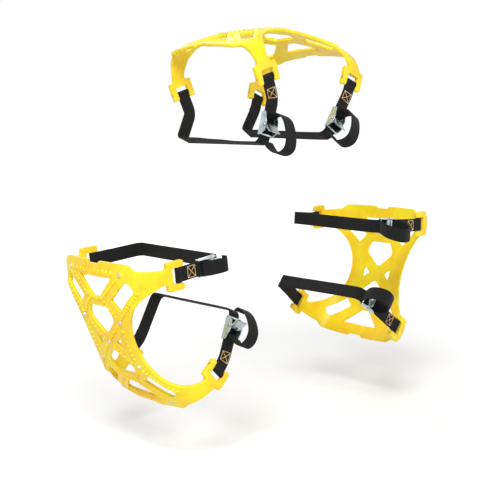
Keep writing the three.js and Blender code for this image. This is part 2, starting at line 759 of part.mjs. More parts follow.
// The cam lever: a toothed cam on the axle with a thumb tab, slotted in the middle for the spring
function camLever() {
  const teeth = [];
  for (let k = 0; k <= 2 * CAM_TEETH; k++) {
    const a = radians(CAM_FIRST_TOOTH_ANGLE + (CAM_TOOTHED_ANGLE * k) / (2 * CAM_TEETH));
    const reach = CAM_BITE - (k % 2 ? CAM_TOOTH : 0);
    teeth.push(new THREE.Vector2(reach * Math.cos(a), reach * Math.sin(a)));
  }
  const along = new THREE.Vector2(Math.cos(radians(TAB_ANGLE)), Math.sin(radians(TAB_ANGLE)));
  const across = new THREE.Vector2(-along.y, along.x);
  const tabPoint = (reach, side) => {
    return along.clone().multiplyScalar(reach).addScaledVector(across, (side * TAB_THICKNESS) / 2);
  };
  const crown = CAM_BASE_RADIUS - TAB_THICKNESS / 2;
  const lifted = (reach, side) => tabPoint(reach, side).addScaledVector(across, crown);
  const outline = [
    ...teeth,
    ...arcPoints(0, 0, CAM_BASE_RADIUS, -45, TAB_ANGLE + 20, 4),
    lifted(CAM_BASE_RADIUS + 2, -1),
    lifted(TAB_LENGTH - 3, -1),
    lifted(TAB_LENGTH, -1).addScaledVector(across, TAB_LIP),
    lifted(TAB_LENGTH, 1).addScaledVector(across, TAB_LIP),
    lifted(TAB_LENGTH - 4, 1),
    ...arcPoints(0, 0, CAM_BASE_RADIUS, TAB_ANGLE + 90, 215, 5),
  ];
  const hole = ringPoints(0, 0, AXLE_RADIUS + GAP);
  const cam = extrudeAcross(outline, [hole], 2 * (EAR_INNER - SIDE_GAP));
  const through = 4 * CAM_BITE;
  const slot = new THREE.BoxGeometry(2 * (SPRING_RADIUS + GAP), through, SPRING_WIDTH + 2 * GAP);
  slot.rotateZ(radians(TAB_ANGLE));
  return geometryOf(solidOf(cam).subtract(solidOf(slot)));
}

// Turn and reach that bring a strap from one pin's frame to a line parallel to the axle
function aimStrap(matrix, face, target, from) {
  const inverse = matrix.clone().invert();
  const local = target.clone().applyMatrix4(inverse);
  const outward = new THREE.Vector3(0, face, 0).transformDirection(inverse);
  local.addScaledVector(outward, -local.y / outward.y);
  let turn = 0.01;
  let tangent = BEND_LENGTH / 2;
  for (let k = 0; k < 8; k++) {
    turn = Math.atan2(local.z, local.x - from - tangent) || 0.01;
    tangent = (BEND_LENGTH / turn) * Math.tan(turn / 2);
  }
  const straight = Math.hypot(local.z, local.x - from - tangent) - tangent;
  return { turn, reach: from + BEND_LENGTH + straight };
}

function chainStrap(chain, where, strap) {
  const group = new THREE.Group();
  const prefix = chain.name + "_" + where + "_";
  const streetPin = pinFrame(chain, strap.side, STREET);
  const vehiclePin = pinFrame(chain, strap.side, VEHICLE);
  const bend = { from: strap.bendFrom, turn: -radians(strap.turn) };

  const street = new THREE.Group();
  street.applyMatrix4(streetPin);
  street.add(makeMesh(prefix + "street_pin", forkPin(), "pin"));
  street.add(makeMesh(prefix + "short_strap", shortStrap(bend, strap.reach), "webbing"));
  const buckle = new THREE.Group();
  buckle.position.copy(bendStrap(new THREE.Vector3(strap.reach, 0, 0), bend));
  buckle.rotation.y = -bend.turn;
  street.add(buckle);
  street.updateMatrixWorld(true);
  buckle.add(makeMesh(prefix + "buckle_frame", buckleFrame(), "zinc"));
  const axle = makeMesh(prefix + "cam_axle", camAxle(), "pin");
  const spring = makeMesh(prefix + "cam_spring", camSpring(), "spring");
  const lever = makeMesh(prefix + "cam_lever", camLever(), "zinc");
  for (const piece of [axle, spring, lever]) {
    piece.position.set(AXLE_X, AXLE_N, 0);
    buckle.add(piece);
  }
  const frame = heightFrame(buckle.matrixWorld, STREET);
  buckle.add(makeMesh(prefix + "strap_outer_run", outerRun(strap, frame), "webbing"));
  group.add(street);

  const vehicle = new THREE.Group();
  vehicle.applyMatrix4(vehiclePin);
  const crossing = new THREE.Vector3(CROSSING_X, -2 * CROSSING_CORNER, 0);
  const target = crossToMiddle(crossing, STRAP_N - CROSSING_CORNER, frame);
  target.applyMatrix4(buckle.matrixWorld);
  const aim = aimStrap(vehiclePin, VEHICLE, target, strap.bendFrom);
  const innerBend = { from: strap.bendFrom, turn: aim.turn };
  const inner = innerRun(innerBend, aim.reach, heightFrame(vehiclePin, VEHICLE));
  vehicle.add(makeMesh(prefix + "vehicle_pin", forkPin(), "pin"));
  vehicle.add(makeMesh(prefix + "strap_inner_run", inner, "webbing"));
  group.add(vehicle);
  return group;
}

const set = new THREE.Group();
for (const chain of CHAINS) {
  set.add(makeMesh(chain.name + "_tread_pad", treadPad(chain), "pad"));
  for (const [where, strap] of Object.entries(chain.straps)) {
    set.add(chainStrap(chain, where, strap));
  }
}

export default set;
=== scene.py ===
import math

import bmesh
import bpy
from mathutils import Matrix, Vector
from mathutils.geometry import delaunay_2d_cdt


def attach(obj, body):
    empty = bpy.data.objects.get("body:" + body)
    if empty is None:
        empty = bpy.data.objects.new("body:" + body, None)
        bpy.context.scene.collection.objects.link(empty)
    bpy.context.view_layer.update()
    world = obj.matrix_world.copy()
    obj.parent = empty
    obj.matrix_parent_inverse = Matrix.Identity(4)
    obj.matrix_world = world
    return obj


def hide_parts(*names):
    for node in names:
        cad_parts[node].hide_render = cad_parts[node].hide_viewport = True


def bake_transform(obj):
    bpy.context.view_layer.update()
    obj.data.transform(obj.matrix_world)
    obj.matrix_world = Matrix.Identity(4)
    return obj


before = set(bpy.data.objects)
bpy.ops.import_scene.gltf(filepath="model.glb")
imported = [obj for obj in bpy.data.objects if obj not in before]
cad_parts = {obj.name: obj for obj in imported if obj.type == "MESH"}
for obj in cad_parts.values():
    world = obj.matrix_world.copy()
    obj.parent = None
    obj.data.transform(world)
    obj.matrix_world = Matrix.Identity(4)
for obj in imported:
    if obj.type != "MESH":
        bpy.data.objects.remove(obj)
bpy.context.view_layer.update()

MM = 0.001
ROOT = "chains"

# Tyre section, from the crown out to the sidewall, as three tangent arcs
TYRE_RADIUS = 369.5
CROWN_RADIUS = 520
CROWN_SLOPE = math.radians(9.2)
SHOULDER_RADIUS = 42
SHOULDER_SLOPE = math.radians(80)
SIDEWALL_RADIUS = 130
CROWN_END = CROWN_RADIUS * CROWN_SLOPE
SHOULDER_END = CROWN_END + SHOULDER_RADIUS * (SHOULDER_SLOPE - CROWN_SLOPE)
TYRE_ARCS = ((CROWN_RADIUS, CROWN_END), (SHOULDER_RADIUS, SHOULDER_END), (SIDEWALL_RADIUS, math.inf))

# Tread pad, laid out flat: S runs across the tyre, U runs round it
PAD_THICKNESS = 6
FORK_THICKNESS = 9
THICKENING_LENGTH = 20
BEND_RADIUS = TYRE_RADIUS + PAD_THICKNESS
CROSSBAR_U = 147
CROSSBAR_S = 87
CROSSBAR_WIDTH = 27
CROSSBAR_CORNER = 6
NOTCH_HALF_WIDTH = 16
NOTCH_DEPTH = 5
NOTCH_FLARE = 2
NOTCH_CORNER = 2
ARM_U = 125
ARM_NECK = 24
ARM_OUTER_EXTRA = 1
ARM_ROOT_S = 12
ARM_ROOT_CORNER = 10
WAIST_S = 67
NECK_BEFORE_FORK = 7
NECK_OUTER_CORNER = 5
NECK_INNER_CORNER = 4
NECK_STEPS = 24
FORK_BAR_S = 147
FORK_BAR_THICKNESS = 11
PRONG_LENGTH = 33
PRONG_WIDTH = 11
PRONG_CLEARANCE = 1
FORK_CORNER = 3
FORK_THROAT_CORNER = 1.2
TOP_EDGE = 1.5
BOTTOM_EDGE = 0.5
EDGE_STEPS = 4
GRID_STEP = 5.5

# Windows of the pad: half widths across it and depths towards its middle
TRAPEZIUM_OUTER = 46
TRAPEZIUM_INNER = 9
TRAPEZIUM_DEPTH = 35
RIB_WIDTH = 17
DOME_TOP = 25
DOME_WIDEST = 36
DOME_FOOT = 5
DOME_SHOULDER_DEPTH = 22
DOME_DEPTH = 50
TRIANGLE_TIP = 19
TRIANGLE_BASE = 35
TRIANGLE_HALF_HEIGHT = 14

# Slot at each arm's root: its corners' distances from the waist or the crossbar, and below the arm
SLOT_INNER = (27, 43)
SLOT_LOWER = (9, 61)
SLOT_OUTER = (9, 22)
SLOT_UPPER = (5, 6)

# Fillets of the windows' corners, in the order that each outline runs
TRAPEZIUM_FILLETS = (1.5, 1.5, 6, 6)
DOME_FILLETS = (6, 6, 12, 4, 4, 12)
TRIANGLE_FILLETS = (2, 3, 3)
SLOT_FILLETS = (2, 3, 8, 8)

# Studs, grip bumps and cleats on the pad
STUD_RADIUS = 4
STUD_HEIGHT = 1.5
STUD_DEPTH = 2.5
STUD_FIT = 0.05
STUD_PROFILE = ((1, 0.35), (0.93, 0.62), (0.72, 0.78), (0.45, 0.8), (0.4, 1.2), (0.3, 1.35), (0, 1.4))
STUD_ROW_S = 71
STUD_ROW_U = 129.5
INNER_STUD_S = 52
INNER_STUD_U = 44.5
BOSS_RADIUS = 6.6
BOSS_HEIGHT = 0.9
BOSS_SLOPE = 0.8
BUMP_RADIUS = 3
BUMP_HEIGHT = 2.8
BUMP_PITCH = 8.4
BUMP_PROFILE = ((0.45, 0.9), (0.8, 0.55), (1, 0))
CLEAT_WIDTH = 6
CLEAT_LENGTH = 10
CLEAT_PITCH = 11
CLEAT_COUNT = 10
RELIEF_CLEARANCE = 1

# Pins and webbing
PIN_RADIUS = 2.5
PIN_FROM_TIP = 10
PIN_RECESS = 1
WEB_WIDTH = 25
WEB_THICKNESS = 1.7
WRAP_OPENING = 62
PIN_LOOP_MOUTH = 3
BAR_LOOP_MOUTH = 1.5
SEWN_LENGTH = 38
SHORT_STITCHING = (21, 38)
LONG_STITCHING = (20, 35)
SPARE_STARTS_BEFORE_AXLE = 8.5
LEAN_FROM = 14
CROSSING_BEYOND_NOSE = 13
CROSSING_CORNER = 12
BEND_LENGTH = 20
TWIST_LENGTH = 70
THREAD_RADIUS = 0.55
STITCH_PITCH = 2.9
STITCHING_MARGIN = 3
LAYER_GAP = 0.03

# Weave, in metres like the webbing's UV map
RIB_PITCH = 0.0016
YARN_PITCH = 0.0011

# Cam buckle, measured from its rear bar
REAR_BAR_RADIUS = 2.2
BUCKLE_LENGTH = 37
EAR_THICKNESS = 1.8
EAR_HEIGHT = 16
EAR_BACK = 2
EAR_NOSE_HEIGHT = 6.5
EAR_TOP_BEFORE_AXLE = 8
EAR_TOP_BEYOND_AXLE = 9
EAR_EDGE = 0.35
PLATE_THICKNESS = 1.5
PLATE_START = 6.5
PLATE_TOP = -3
PLATE_EDGE = 0.1
PLATE_CORNER = 0.5
BRIDGE_LENGTH = 3.5
BRIDGE_THICKNESS = 1.8
BRIDGE_SETBACK = 0.4
AXLE_X = 20
AXLE_RADIUS = 2
AXLE_HEAD_RADIUS = 3.2
AXLE_HEAD = 1.2
CAM_BASE_RADIUS = 4.8
CAM_BITE = 7.2
CAM_TOOTH = 0.8
CAM_TEETH = 4
CAM_FIRST_TOOTH_ANGLE = -122
CAM_TOOTHED_ANGLE = 56
TAB_LENGTH = 18
TAB_THICKNESS = 2.2
TAB_ANGLE = 40
TAB_LIP = 1.5
LEVER_EDGE = 0.3
SPRING_RADIUS = 3.6
SPRING_WIDTH = 7.2
SPRING_TURNS = 6
WIRE_RADIUS = 0.5
GAP = 0.3
SIDE_GAP = 0.7


def strap_of(side, reach, turn, pull, loop, lean=0, sweep=0, bend_from=14):
    """One strap pair: its side of the pad, reach to the buckle, turn in degrees and spare loop."""
    return dict(side=side, reach=reach, turn=turn, pull=pull, loop=loop, lean=lean, sweep=sweep,
                bend_from=bend_from)


# The chains: the same places and straps as the CAD model's
CHAINS = {
    "top": dict(angle=1.2, shift=-12, arch=8, straps={
        "left": strap_of(-1, 68, -33, -2, 1.1, sweep=0.1, bend_from=30),
        "right": strap_of(1, 64, -12, 5, 1.05, -0.05, 0.1),
    }),
    "right": dict(angle=107.3, shift=-20, arch=0, straps={
        "upper": strap_of(-1, 88, -5, 0, 1.1, 0.25),
        "lower": strap_of(1, 88, 2, 4, 0.95, -0.1),
    }),
    "left": dict(angle=245.7, shift=2, arch=0, straps={
        "upper": strap_of(1, 50, 1, -5.5, 0.36, 0.08),
        "lower": strap_of(-1, 62, 22, -6.5, 0.85, sweep=-0.8),
    }),
}

STREET = -1
VEHICLE = 1
FORK_TIP_S = FORK_BAR_S + PRONG_LENGTH
PIN_S = FORK_TIP_S - PIN_FROM_TIP
FORK_WIDTH = WEB_WIDTH + 2 * (PRONG_WIDTH + PRONG_CLEARANCE)
PIN_HOLE = PIN_RADIUS + GAP
HALF_WEB = WEB_THICKNESS / 2
PIN_LOOP = PIN_HOLE + HALF_WEB
BAR_LOOP = REAR_BAR_RADIUS + GAP + HALF_WEB
PIN_MOUTH = PIN_LOOP + HALF_WEB + PIN_LOOP_MOUTH
LAYER = HALF_WEB + LAYER_GAP
SEWN_TOP = LAYER + HALF_WEB
EAR_INNER = WEB_WIDTH / 2 + SIDE_GAP
EAR_OUTER = EAR_INNER + EAR_THICKNESS
PLATE_BOTTOM = PLATE_TOP - PLATE_THICKNESS
CROSSING_X = BUCKLE_LENGTH + CROSSING_BEYOND_NOSE
STRAP_N = PLATE_TOP + GAP + HALF_WEB
STRAP_TOP = STRAP_N + HALF_WEB
AXLE_N = STRAP_TOP + GAP + CAM_BITE


def polar(radius, angle):
    return Vector((radius * math.cos(angle), radius * math.sin(angle)))


def around(count):
    return [2 * math.pi * k / count for k in range(count)]


def lerp(a, b, share):
    return a + (b - a) * share


def smoothstep(x, low, high):
    share = min(1, max(0, (x - low) / (high - low)))
    return share * share * (3 - 2 * share)


# ---- Materials ----

class Nodes:
    """The node tree of a material or a world, with short calls for the nodes that they share."""

    def __init__(self, owner):
        owner.use_nodes = True
        self.tree = owner.node_tree
        self.shader = self.tree.nodes.get("Principled BSDF") or self.tree.nodes["Background"]

    def fill(self, node, **values):
        """Sets a node's values: a name in lower case is a setting, and any other is an input."""
        for key, value in values.items():
            if key.islower():
                setattr(node, key, value)
            else:
                node.inputs[key.replace("_", " ")].default_value = value
        return node

    def add(self, kind, **values):
        return self.fill(self.tree.nodes.new(kind), **values)

    def set(self, **values):
        self.fill(self.shader, **values)

    def link(self, output, node, socket):
        self.tree.links.new(output, node.inputs[socket])

    def coordinates(self, kind="Object"):
        return self.add("ShaderNodeTexCoord").outputs[kind]

    def noise(self, scale, detail=3, roughness=0.5):
        node = self.add("ShaderNodeTexNoise", Scale=scale, Detail=detail, Roughness=roughness)
        self.link(self.coordinates(), node, "Vector")
        return node.outputs["Fac"]

    def colour(self, value, dark_at, dark, pale_at, pale):
        node = self.add("ShaderNodeValToRGB")
        stops = ((dark_at, dark), (pale_at, pale))
        for element, (position, colour) in zip(node.color_ramp.elements, stops):
            element.position = position
            element.color = (*colour, 1)
        self.link(value, node, "Fac")
        self.link(node.outputs["Color"], self.shader, "Base Color")

    def roughness(self, scale, low, high, detail=4):
        self.link(self.spread(self.noise(scale, detail), low, high), self.shader, "Roughness")

    def spread(self, value, low, high, **values):
        node = self.add("ShaderNodeMapRange", To_Min=low, To_Max=high, **values)
        self.link(value, node, "Value")
        return node.outputs["Result"]

    def math(self, operation, a, b=0):
        node = self.add("ShaderNodeMath", operation=operation)
        for socket, value in enumerate((a, b)):
            if isinstance(value, (int, float)):
                node.inputs[socket].default_value = value
            else:
                self.link(value, node, socket)
        return node.outputs[0]

    def bump(self, height, strength, distance):
        node = self.add("ShaderNodeBump", Strength=strength, Distance=distance)
        self.link(height, node, "Height")
        self.link(node.outputs["Normal"], self.shader, "Normal")


def pad_plastic(m):
    """Yellow moulded plastic: large and small clouds of colour, and a fine moulded grain."""
    large = m.math("MULTIPLY", m.noise(9, 4), 0.65)
    small = m.math("MULTIPLY", m.noise(48, 3), 0.35)
    m.colour(m.math("ADD", large, small), 0.36, (0.91, 0.53, 0.008), 0.6, (0.92, 0.75, 0.014))
    m.roughness(60, 0.3, 0.5)
    m.set(Subsurface_Weight=0.08, Subsurface_Radius=(1.0, 0.5, 0.05), Subsurface_Scale=0.003)
    m.set(Specular_IOR_Level=0.35)
    m.bump(m.noise(900, 3, 0.6), 0.25, 0.0003)


def webbing(m):
    """Woven ribs across the strap and yarns along it, from the piece's length and width in metres. The
    colour is darker in the weave's hollows, which is painted shade, with random fibre tone on top.
    """
    split = m.add("ShaderNodeSeparateXYZ")
    m.link(m.coordinates("UV"), split, 0)
    rib = m.math("SINE", m.math("MULTIPLY", split.outputs["X"], 2 * math.pi / RIB_PITCH))
    yarn = m.math("SINE", m.math("MULTIPLY", split.outputs["Y"], 2 * math.pi / YARN_PITCH))
    weave = m.math("MULTIPLY", rib, yarn)
    height = m.math("ADD", m.math("MULTIPLY", weave, 0.5), m.math("MULTIPLY", rib, 0.3))
    fuzz = m.noise(1400, 2)
    # painted shade: the weave term darkens the colour where the weave's bumps are low, and the fuzz is
    # random fibre tone
    shade = m.math("ADD", m.math("MULTIPLY", weave, 0.18), fuzz)
    m.colour(shade, 0.25, (0.004, 0.004, 0.0042), 0.8, (0.016, 0.016, 0.0165))
    m.roughness(300, 0.62, 0.85, 3)
    m.set(Specular_IOR_Level=0.14, Sheen_Weight=0.02, Sheen_Roughness=0.4)
    m.bump(m.math("ADD", height, m.math("MULTIPLY", fuzz, 0.5)), 0.55, 0.0004)


def steel(m, dark, pale, smoothest, roughest, grain):
    m.colour(m.noise(70, 4), 0.3, dark, 0.7, pale)
    m.roughness(240, smoothest, roughest)
    m.set(Metallic=1.0)
    m.bump(m.noise(grain, 3, 0.6), 0.2, 0.0002)


def thread(m):
    m.colour(m.noise(1500, 2), 0.3, (0.66, 0.38, 0.12), 0.7, (0.86, 0.62, 0.30))
    m.roughness(900, 0.45, 0.7, 2)
    m.bump(m.noise(2500, 2), 0.4, 0.0002)


RECIPES = {
    "pad_plastic": (pad_plastic,),
    "webbing": (webbing,),
    "zinc_steel": (steel, (0.36, 0.43, 0.45), (0.62, 0.69, 0.70), 0.26, 0.48, 1100),
    "pin_steel": (steel, (0.30, 0.31, 0.33), (0.50, 0.51, 0.52), 0.25, 0.42, 1400),
    "stud_steel": (steel, (0.52, 0.42, 0.40), (0.78, 0.68, 0.65), 0.2, 0.36, 1600),
    "thread": (thread,),
}
FINISH = {}
for slot_name, (recipe, *settings) in RECIPES.items():
    FINISH[slot_name] = bpy.data.materials.new(slot_name)
    recipe(Nodes(FINISH[slot_name]), *settings)


def add_object(name, data):
    made = bpy.data.objects.new(name, data)
    bpy.context.scene.collection.objects.link(made)
    return made


def make_piece(name, vertices, faces, slot, smooth_angle=35, uvs=None):
    """A mesh object from points in millimetres, placed in metres."""
    mesh = bpy.data.meshes.new(name)
    mesh.from_pydata([Vector(v) * MM for v in vertices], [], faces)
    if uvs:
        layer = mesh.uv_layers.new(name="UVMap")
        for loop in mesh.loops:
            layer.data[loop.index].uv = uvs[loop.vertex_index]
    return finish_piece(name, mesh, slot, smooth_angle)


def finish_piece(name, mesh, slot, smooth_angle):
    mesh.name = name
    mesh.materials.clear()
    mesh.materials.append(FINISH[slot])
    piece = add_object(name, mesh)
    mesh.polygons.foreach_set("use_smooth", [True] * len(mesh.polygons))
    mesh.set_sharp_from_angle(angle=math.radians(smooth_angle))
    return piece


# ---- The tyre's outline and the pad's wrap round it ----

def tyre_section(s):
    """How far out along the axle, how far from it, and the slope, at a length s across the tyre."""
    out, radius, slope, start = 0, TYRE_RADIUS, 0, 0
    for bend, end in TYRE_ARCS:
        turned = slope + max(0, min(abs(s), end) - start) / bend
        out += bend * (math.sin(turned) - math.sin(slope))
        radius -= bend * (math.cos(slope) - math.cos(turned))
        slope, start = turned, end
    sign = math.copysign(1, s)
    return sign * out, radius, sign * slope


def radial_at(angle):
    return Vector((math.sin(angle), 0, math.cos(angle)))


def pull_of(chain, side):
    return next(strap["pull"] for strap in chain["straps"].values() if strap["side"] == side)


def wrap_pad(s, u, height, chain):
    out, radius, slope = tyre_section(s + chain["shift"])
    share = smoothstep(abs(s + chain["shift"]), CROWN_END, SHOULDER_END)
    side = -1 if u < 0 else 1
    pulled = pull_of(chain, side) * smoothstep(abs(s), WAIST_S, FORK_BAR_S)
    bend = lerp(BEND_RADIUS, radius, share)
    turn = side * ARM_U / BEND_RADIUS + (u - side * ARM_U + pulled) / bend
    arched = chain["arch"] * (1 - share) * math.cos(math.pi / 2 * u / CROSSBAR_U) ** 2
    lifted = height + arched
    point = radial_at(math.radians(chain["angle"]) + turn) * (radius + lifted * math.cos(slope))
    return point + Vector((0, STREET * (out + lifted * math.sin(slope)), 0))


def frame_at(place, x, y, z):
    matrix = Matrix((x, y, z)).transposed().to_4x4()
    matrix.translation = place
    return matrix


def pin_frame(chain, side, face):
    """X runs along the strap towards the axle, Y stands off the tyre, Z is the pin."""
    out, radius, slope = tyre_section(STREET * face * PIN_S + chain["shift"])
    slope = abs(slope)
    turn = side * ARM_U / BEND_RADIUS + pull_of(chain, side) / radius
    radial = radial_at(math.radians(chain["angle"]) + turn)
    outward = Vector((0, face, 0))
    inward = outward * math.cos(slope) - radial * math.sin(slope)
    normal = outward * math.sin(slope) + radial * math.cos(slope)
    place = radial * radius + outward * abs(out) + normal * (FORK_THICKNESS / 2)
    return frame_at(place, inward, normal, inward.cross(normal))


# ---- Outlines ----

def rounded_outline(corners, step=14):
    """A closed outline from (x, y, fillet radius) corners, with an arc point every few degrees."""
    points = []
    for i, (x, y, radius) in enumerate(corners):
        corner = Vector((x, y))
        if not radius:
            points.append(corner)
            continue
        back = (Vector(corners[i - 1][:2]) - corner).normalized()
        on = (Vector(corners[(i + 1) % len(corners)][:2]) - corner).normalized()
        half = math.acos(max(-1, min(1, back.dot(on)))) / 2
        start = corner + back * (radius / math.tan(half))
        end = corner + on * (radius / math.tan(half))
        centre = corner + (back + on).normalized() * (radius / math.sin(half))
        first = math.atan2(start.y - centre.y, start.x - centre.x)
        sweep = math.atan2(end.y - centre.y, end.x - centre.x) - first
        sweep -= 2 * math.pi * round(sweep / (2 * math.pi))
        steps = max(2, round(abs(math.degrees(sweep)) / step))
        points += [centre + polar(radius, first + sweep * k / steps) for k in range(steps + 1)]
    return points


def arc_points(x, y, radius, first, last, steps):
    angles = [math.radians(lerp(first, last, k / steps)) for k in range(steps + 1)]
    return [Vector((x, y)) + polar(radius, a) for a in angles]


def sides_of(points):
    return zip(points, points[1:] + points[:1])


def area_of(points):
    return sum(p.x * q.y - q.x * p.y for p, q in sides_of(points)) / 2


def divided(points, longest):
    """A closed outline with its long edges cut into shorter ones, so that it can follow a bend."""
    made = []
    for p, q in sides_of(points):
        if (q - p).length < 1e-4:
            continue
        steps = max(1, math.ceil((q - p).length / longest))
        made += [p.lerp(q, k / steps) for k in range(steps)]
    return made


def inset(points, distance):
    """A counter-clockwise outline moved inwards by a distance, point for point."""
    moved = []
    for i, p in enumerate(points):
        before = (p - points[i - 1]).normalized()
        after = (points[(i + 1) % len(points)] - p).normalized()
        normal = Vector((-before.y - after.y, before.x + after.x))
        normal = normal.normalized() if normal.length > 1e-6 else Vector((-before.y, before.x))
        miter = max(0.5, normal.dot(Vector((-before.y, before.x))))
        moved.append(p + normal * (distance / miter))
    return moved


def band(low, high):
    """The faces between two rings of points, either of which may be a single point."""
    count = max(len(low), len(high))
    faces = []
    for k in range(count):
        on = (k + 1) % count
        face = (low[k % len(low)], low[on % len(low)], high[on % len(high)], high[k % len(high)])
        faces.append(tuple(dict.fromkeys(face)))
    return faces


def mirrored(points, side_s, side_u):
    return [Vector((p.x * side_s, p.y * side_u)) for p in points]


def pad_quarter():
    """A quarter of the pad's outline, from the middle of the crossbar to the waist."""
    prong = FORK_WIDTH / 2
    inside = prong - PRONG_WIDTH
    bar = FORK_BAR_S + FORK_BAR_THICKNESS
    neck_u = ARM_U - ARM_NECK / 2
    neck_s = FORK_BAR_S - NECK_BEFORE_FORK
    outer_u = ARM_U + ARM_NECK / 2 + ARM_OUTER_EXTRA
    half_fork = [
        (FORK_BAR_S, prong, FORK_CORNER),
        (FORK_TIP_S, prong, FORK_CORNER),
        (FORK_TIP_S, inside, FORK_CORNER),
        (bar, inside, FORK_THROAT_CORNER),
    ]
    corners = rounded_outline([
        (0, 0, 0),
        (0, CROSSBAR_U - NOTCH_DEPTH, 0),
        (NOTCH_HALF_WIDTH - NOTCH_FLARE, CROSSBAR_U - NOTCH_DEPTH, NOTCH_CORNER),
        (NOTCH_HALF_WIDTH + NOTCH_FLARE, CROSSBAR_U, NOTCH_CORNER),
        (CROSSBAR_S, CROSSBAR_U, CROSSBAR_CORNER),
        (CROSSBAR_S + ARM_ROOT_S, outer_u, ARM_ROOT_CORNER),
        (FORK_BAR_S, outer_u, NECK_OUTER_CORNER),
        *[(s, ARM_U + u, fillet) for s, u, fillet in half_fork],
        *[(s, ARM_U - u, fillet) for s, u, fillet in reversed(half_fork)],
        (FORK_BAR_S, neck_u, NECK_INNER_CORNER),
        (neck_s, neck_u, 0),
    ])[1:-1]
    centre = (neck_s**2 + neck_u**2 - WAIST_S**2) / (2 * (neck_s - WAIST_S))
    radius = centre - WAIST_S
    first = math.atan2(neck_u, neck_s - centre)
    for k in range(NECK_STEPS + 1):
        p = polar(radius, lerp(first, math.pi, k / NECK_STEPS))
        corners.append(Vector((centre + p.x, max(0, p.y))))
    return corners


def pad_outline():
    """The whole outline: each quarter runs on from the last one's end."""
    quarter = pad_quarter()
    loop = quarter + mirrored(quarter, 1, -1)[::-1][1:]
    loop += mirrored(quarter, -1, -1)[1:] + mirrored(quarter, -1, 1)[::-1][1:-1]
    outline = divided(loop, GRID_STEP)
    return outline if area_of(outline) > 0 else outline[::-1]


def filleted(fillets, corners):
    return rounded_outline([(*corner, fillet) for corner, fillet in zip(corners, fillets)])


def pad_windows():
    trapezium_u = CROSSBAR_U - CROSSBAR_WIDTH
    rib_u = trapezium_u - TRAPEZIUM_DEPTH
    dome_u = rib_u - RIB_WIDTH
    side_u, foot_u = dome_u - DOME_SHOULDER_DEPTH, dome_u - DOME_DEPTH
    trapezium = filleted(TRAPEZIUM_FILLETS, [
        (-TRAPEZIUM_OUTER, trapezium_u), (TRAPEZIUM_OUTER, trapezium_u),
        (TRAPEZIUM_INNER, rib_u), (-TRAPEZIUM_INNER, rib_u),
    ])
    dome = filleted(DOME_FILLETS, [
        (-DOME_TOP, dome_u), (DOME_TOP, dome_u), (DOME_WIDEST, side_u),
        (DOME_FOOT, foot_u), (-DOME_FOOT, foot_u), (-DOME_WIDEST, side_u),
    ])
    triangle = filleted(TRIANGLE_FILLETS, [
        (TRIANGLE_TIP, 0), (TRIANGLE_BASE, TRIANGLE_HALF_HEIGHT), (TRIANGLE_BASE, -TRIANGLE_HALF_HEIGHT),
    ])
    slot = filleted(SLOT_FILLETS, [
        (WAIST_S - SLOT_INNER[0], ARM_U - SLOT_INNER[1]),
        (WAIST_S - SLOT_LOWER[0], ARM_U - SLOT_LOWER[1]),
        (CROSSBAR_S + SLOT_OUTER[0], ARM_U - SLOT_OUTER[1]),
        (CROSSBAR_S - SLOT_UPPER[0], ARM_U - SLOT_UPPER[1]),
    ])
    windows = []
    for side in (1, -1):
        windows += [mirrored(trapezium, 1, side), mirrored(dome, 1, side), mirrored(triangle, side, 1)]
        windows += [mirrored(slot, side, end) for end in (1, -1)]
    # a window runs clockwise, so that inset() moves its edge into the plastic
    windows = [divided(w, GRID_STEP) for w in windows]
    return [w if area_of(w) < 0 else w[::-1] for w in windows]


# ---- Pad relief: studs on bosses, and rows of grip bumps along the bars ----

def in_quarters(s, u):
    """One place mirrored to all four quarters of the pad."""
    return [(s * i, u * j) for i in (1, -1) for j in (1, -1)]


def stud_places():
    return [(0, 0)] + in_quarters(STUD_ROW_S, STUD_ROW_U) + in_quarters(INNER_STUD_S, INNER_STUD_U)


def cleat_places():
    """The row of short cleats along each crossbar."""
    rows = [(k - (CLEAT_COUNT - 1) / 2) * CLEAT_PITCH for k in range(CLEAT_COUNT)]
    return [(s, side * STUD_ROW_U) for s in rows for side in (1, -1)]


def bump_places():
    """Bumps along the middles of the pad's bars and ribs, clear of each other and of the studs."""
    bars = [
        ((60, 119), (24, 88)),
        ((0, 83), (15, 83)),
        ((22, 78), (44, 54)),
        ((40, 36), (10, 8)),
        ((51, 36), (51, 0)),
        ((58, 52), (84, 80)),
        ((92, 88), (100, 100)),
    ]
    places = []
    for (s0, u0), (s1, u1) in bars:
        count = max(1, round(math.hypot(s1 - s0, u1 - u0) / BUMP_PITCH))
        for k in range(count + 1):
            places += in_quarters(lerp(s0, s1, k / count), lerp(u0, u1, k / count))
    kept = []
    for place in places:
        clear = all(math.dist(place, other) > 2 * BUMP_RADIUS for other in kept)
        if clear and all(math.dist(place, stud) > BOSS_RADIUS + BUMP_RADIUS for stud in stud_places()):
            kept.append(place)
    return kept


def inside_outline(p, points):
    crossings = sum(
        (a.y > p.y) != (b.y > p.y) and p.x < (b.x - a.x) * (p.y - a.y) / (b.y - a.y) + a.x
        for a, b in sides_of(points)
    )
    return crossings % 2 == 1


def on_pad(p, rims):
    return inside_outline(p, rims[0]) and not any(inside_outline(p, window) for window in rims[1:])


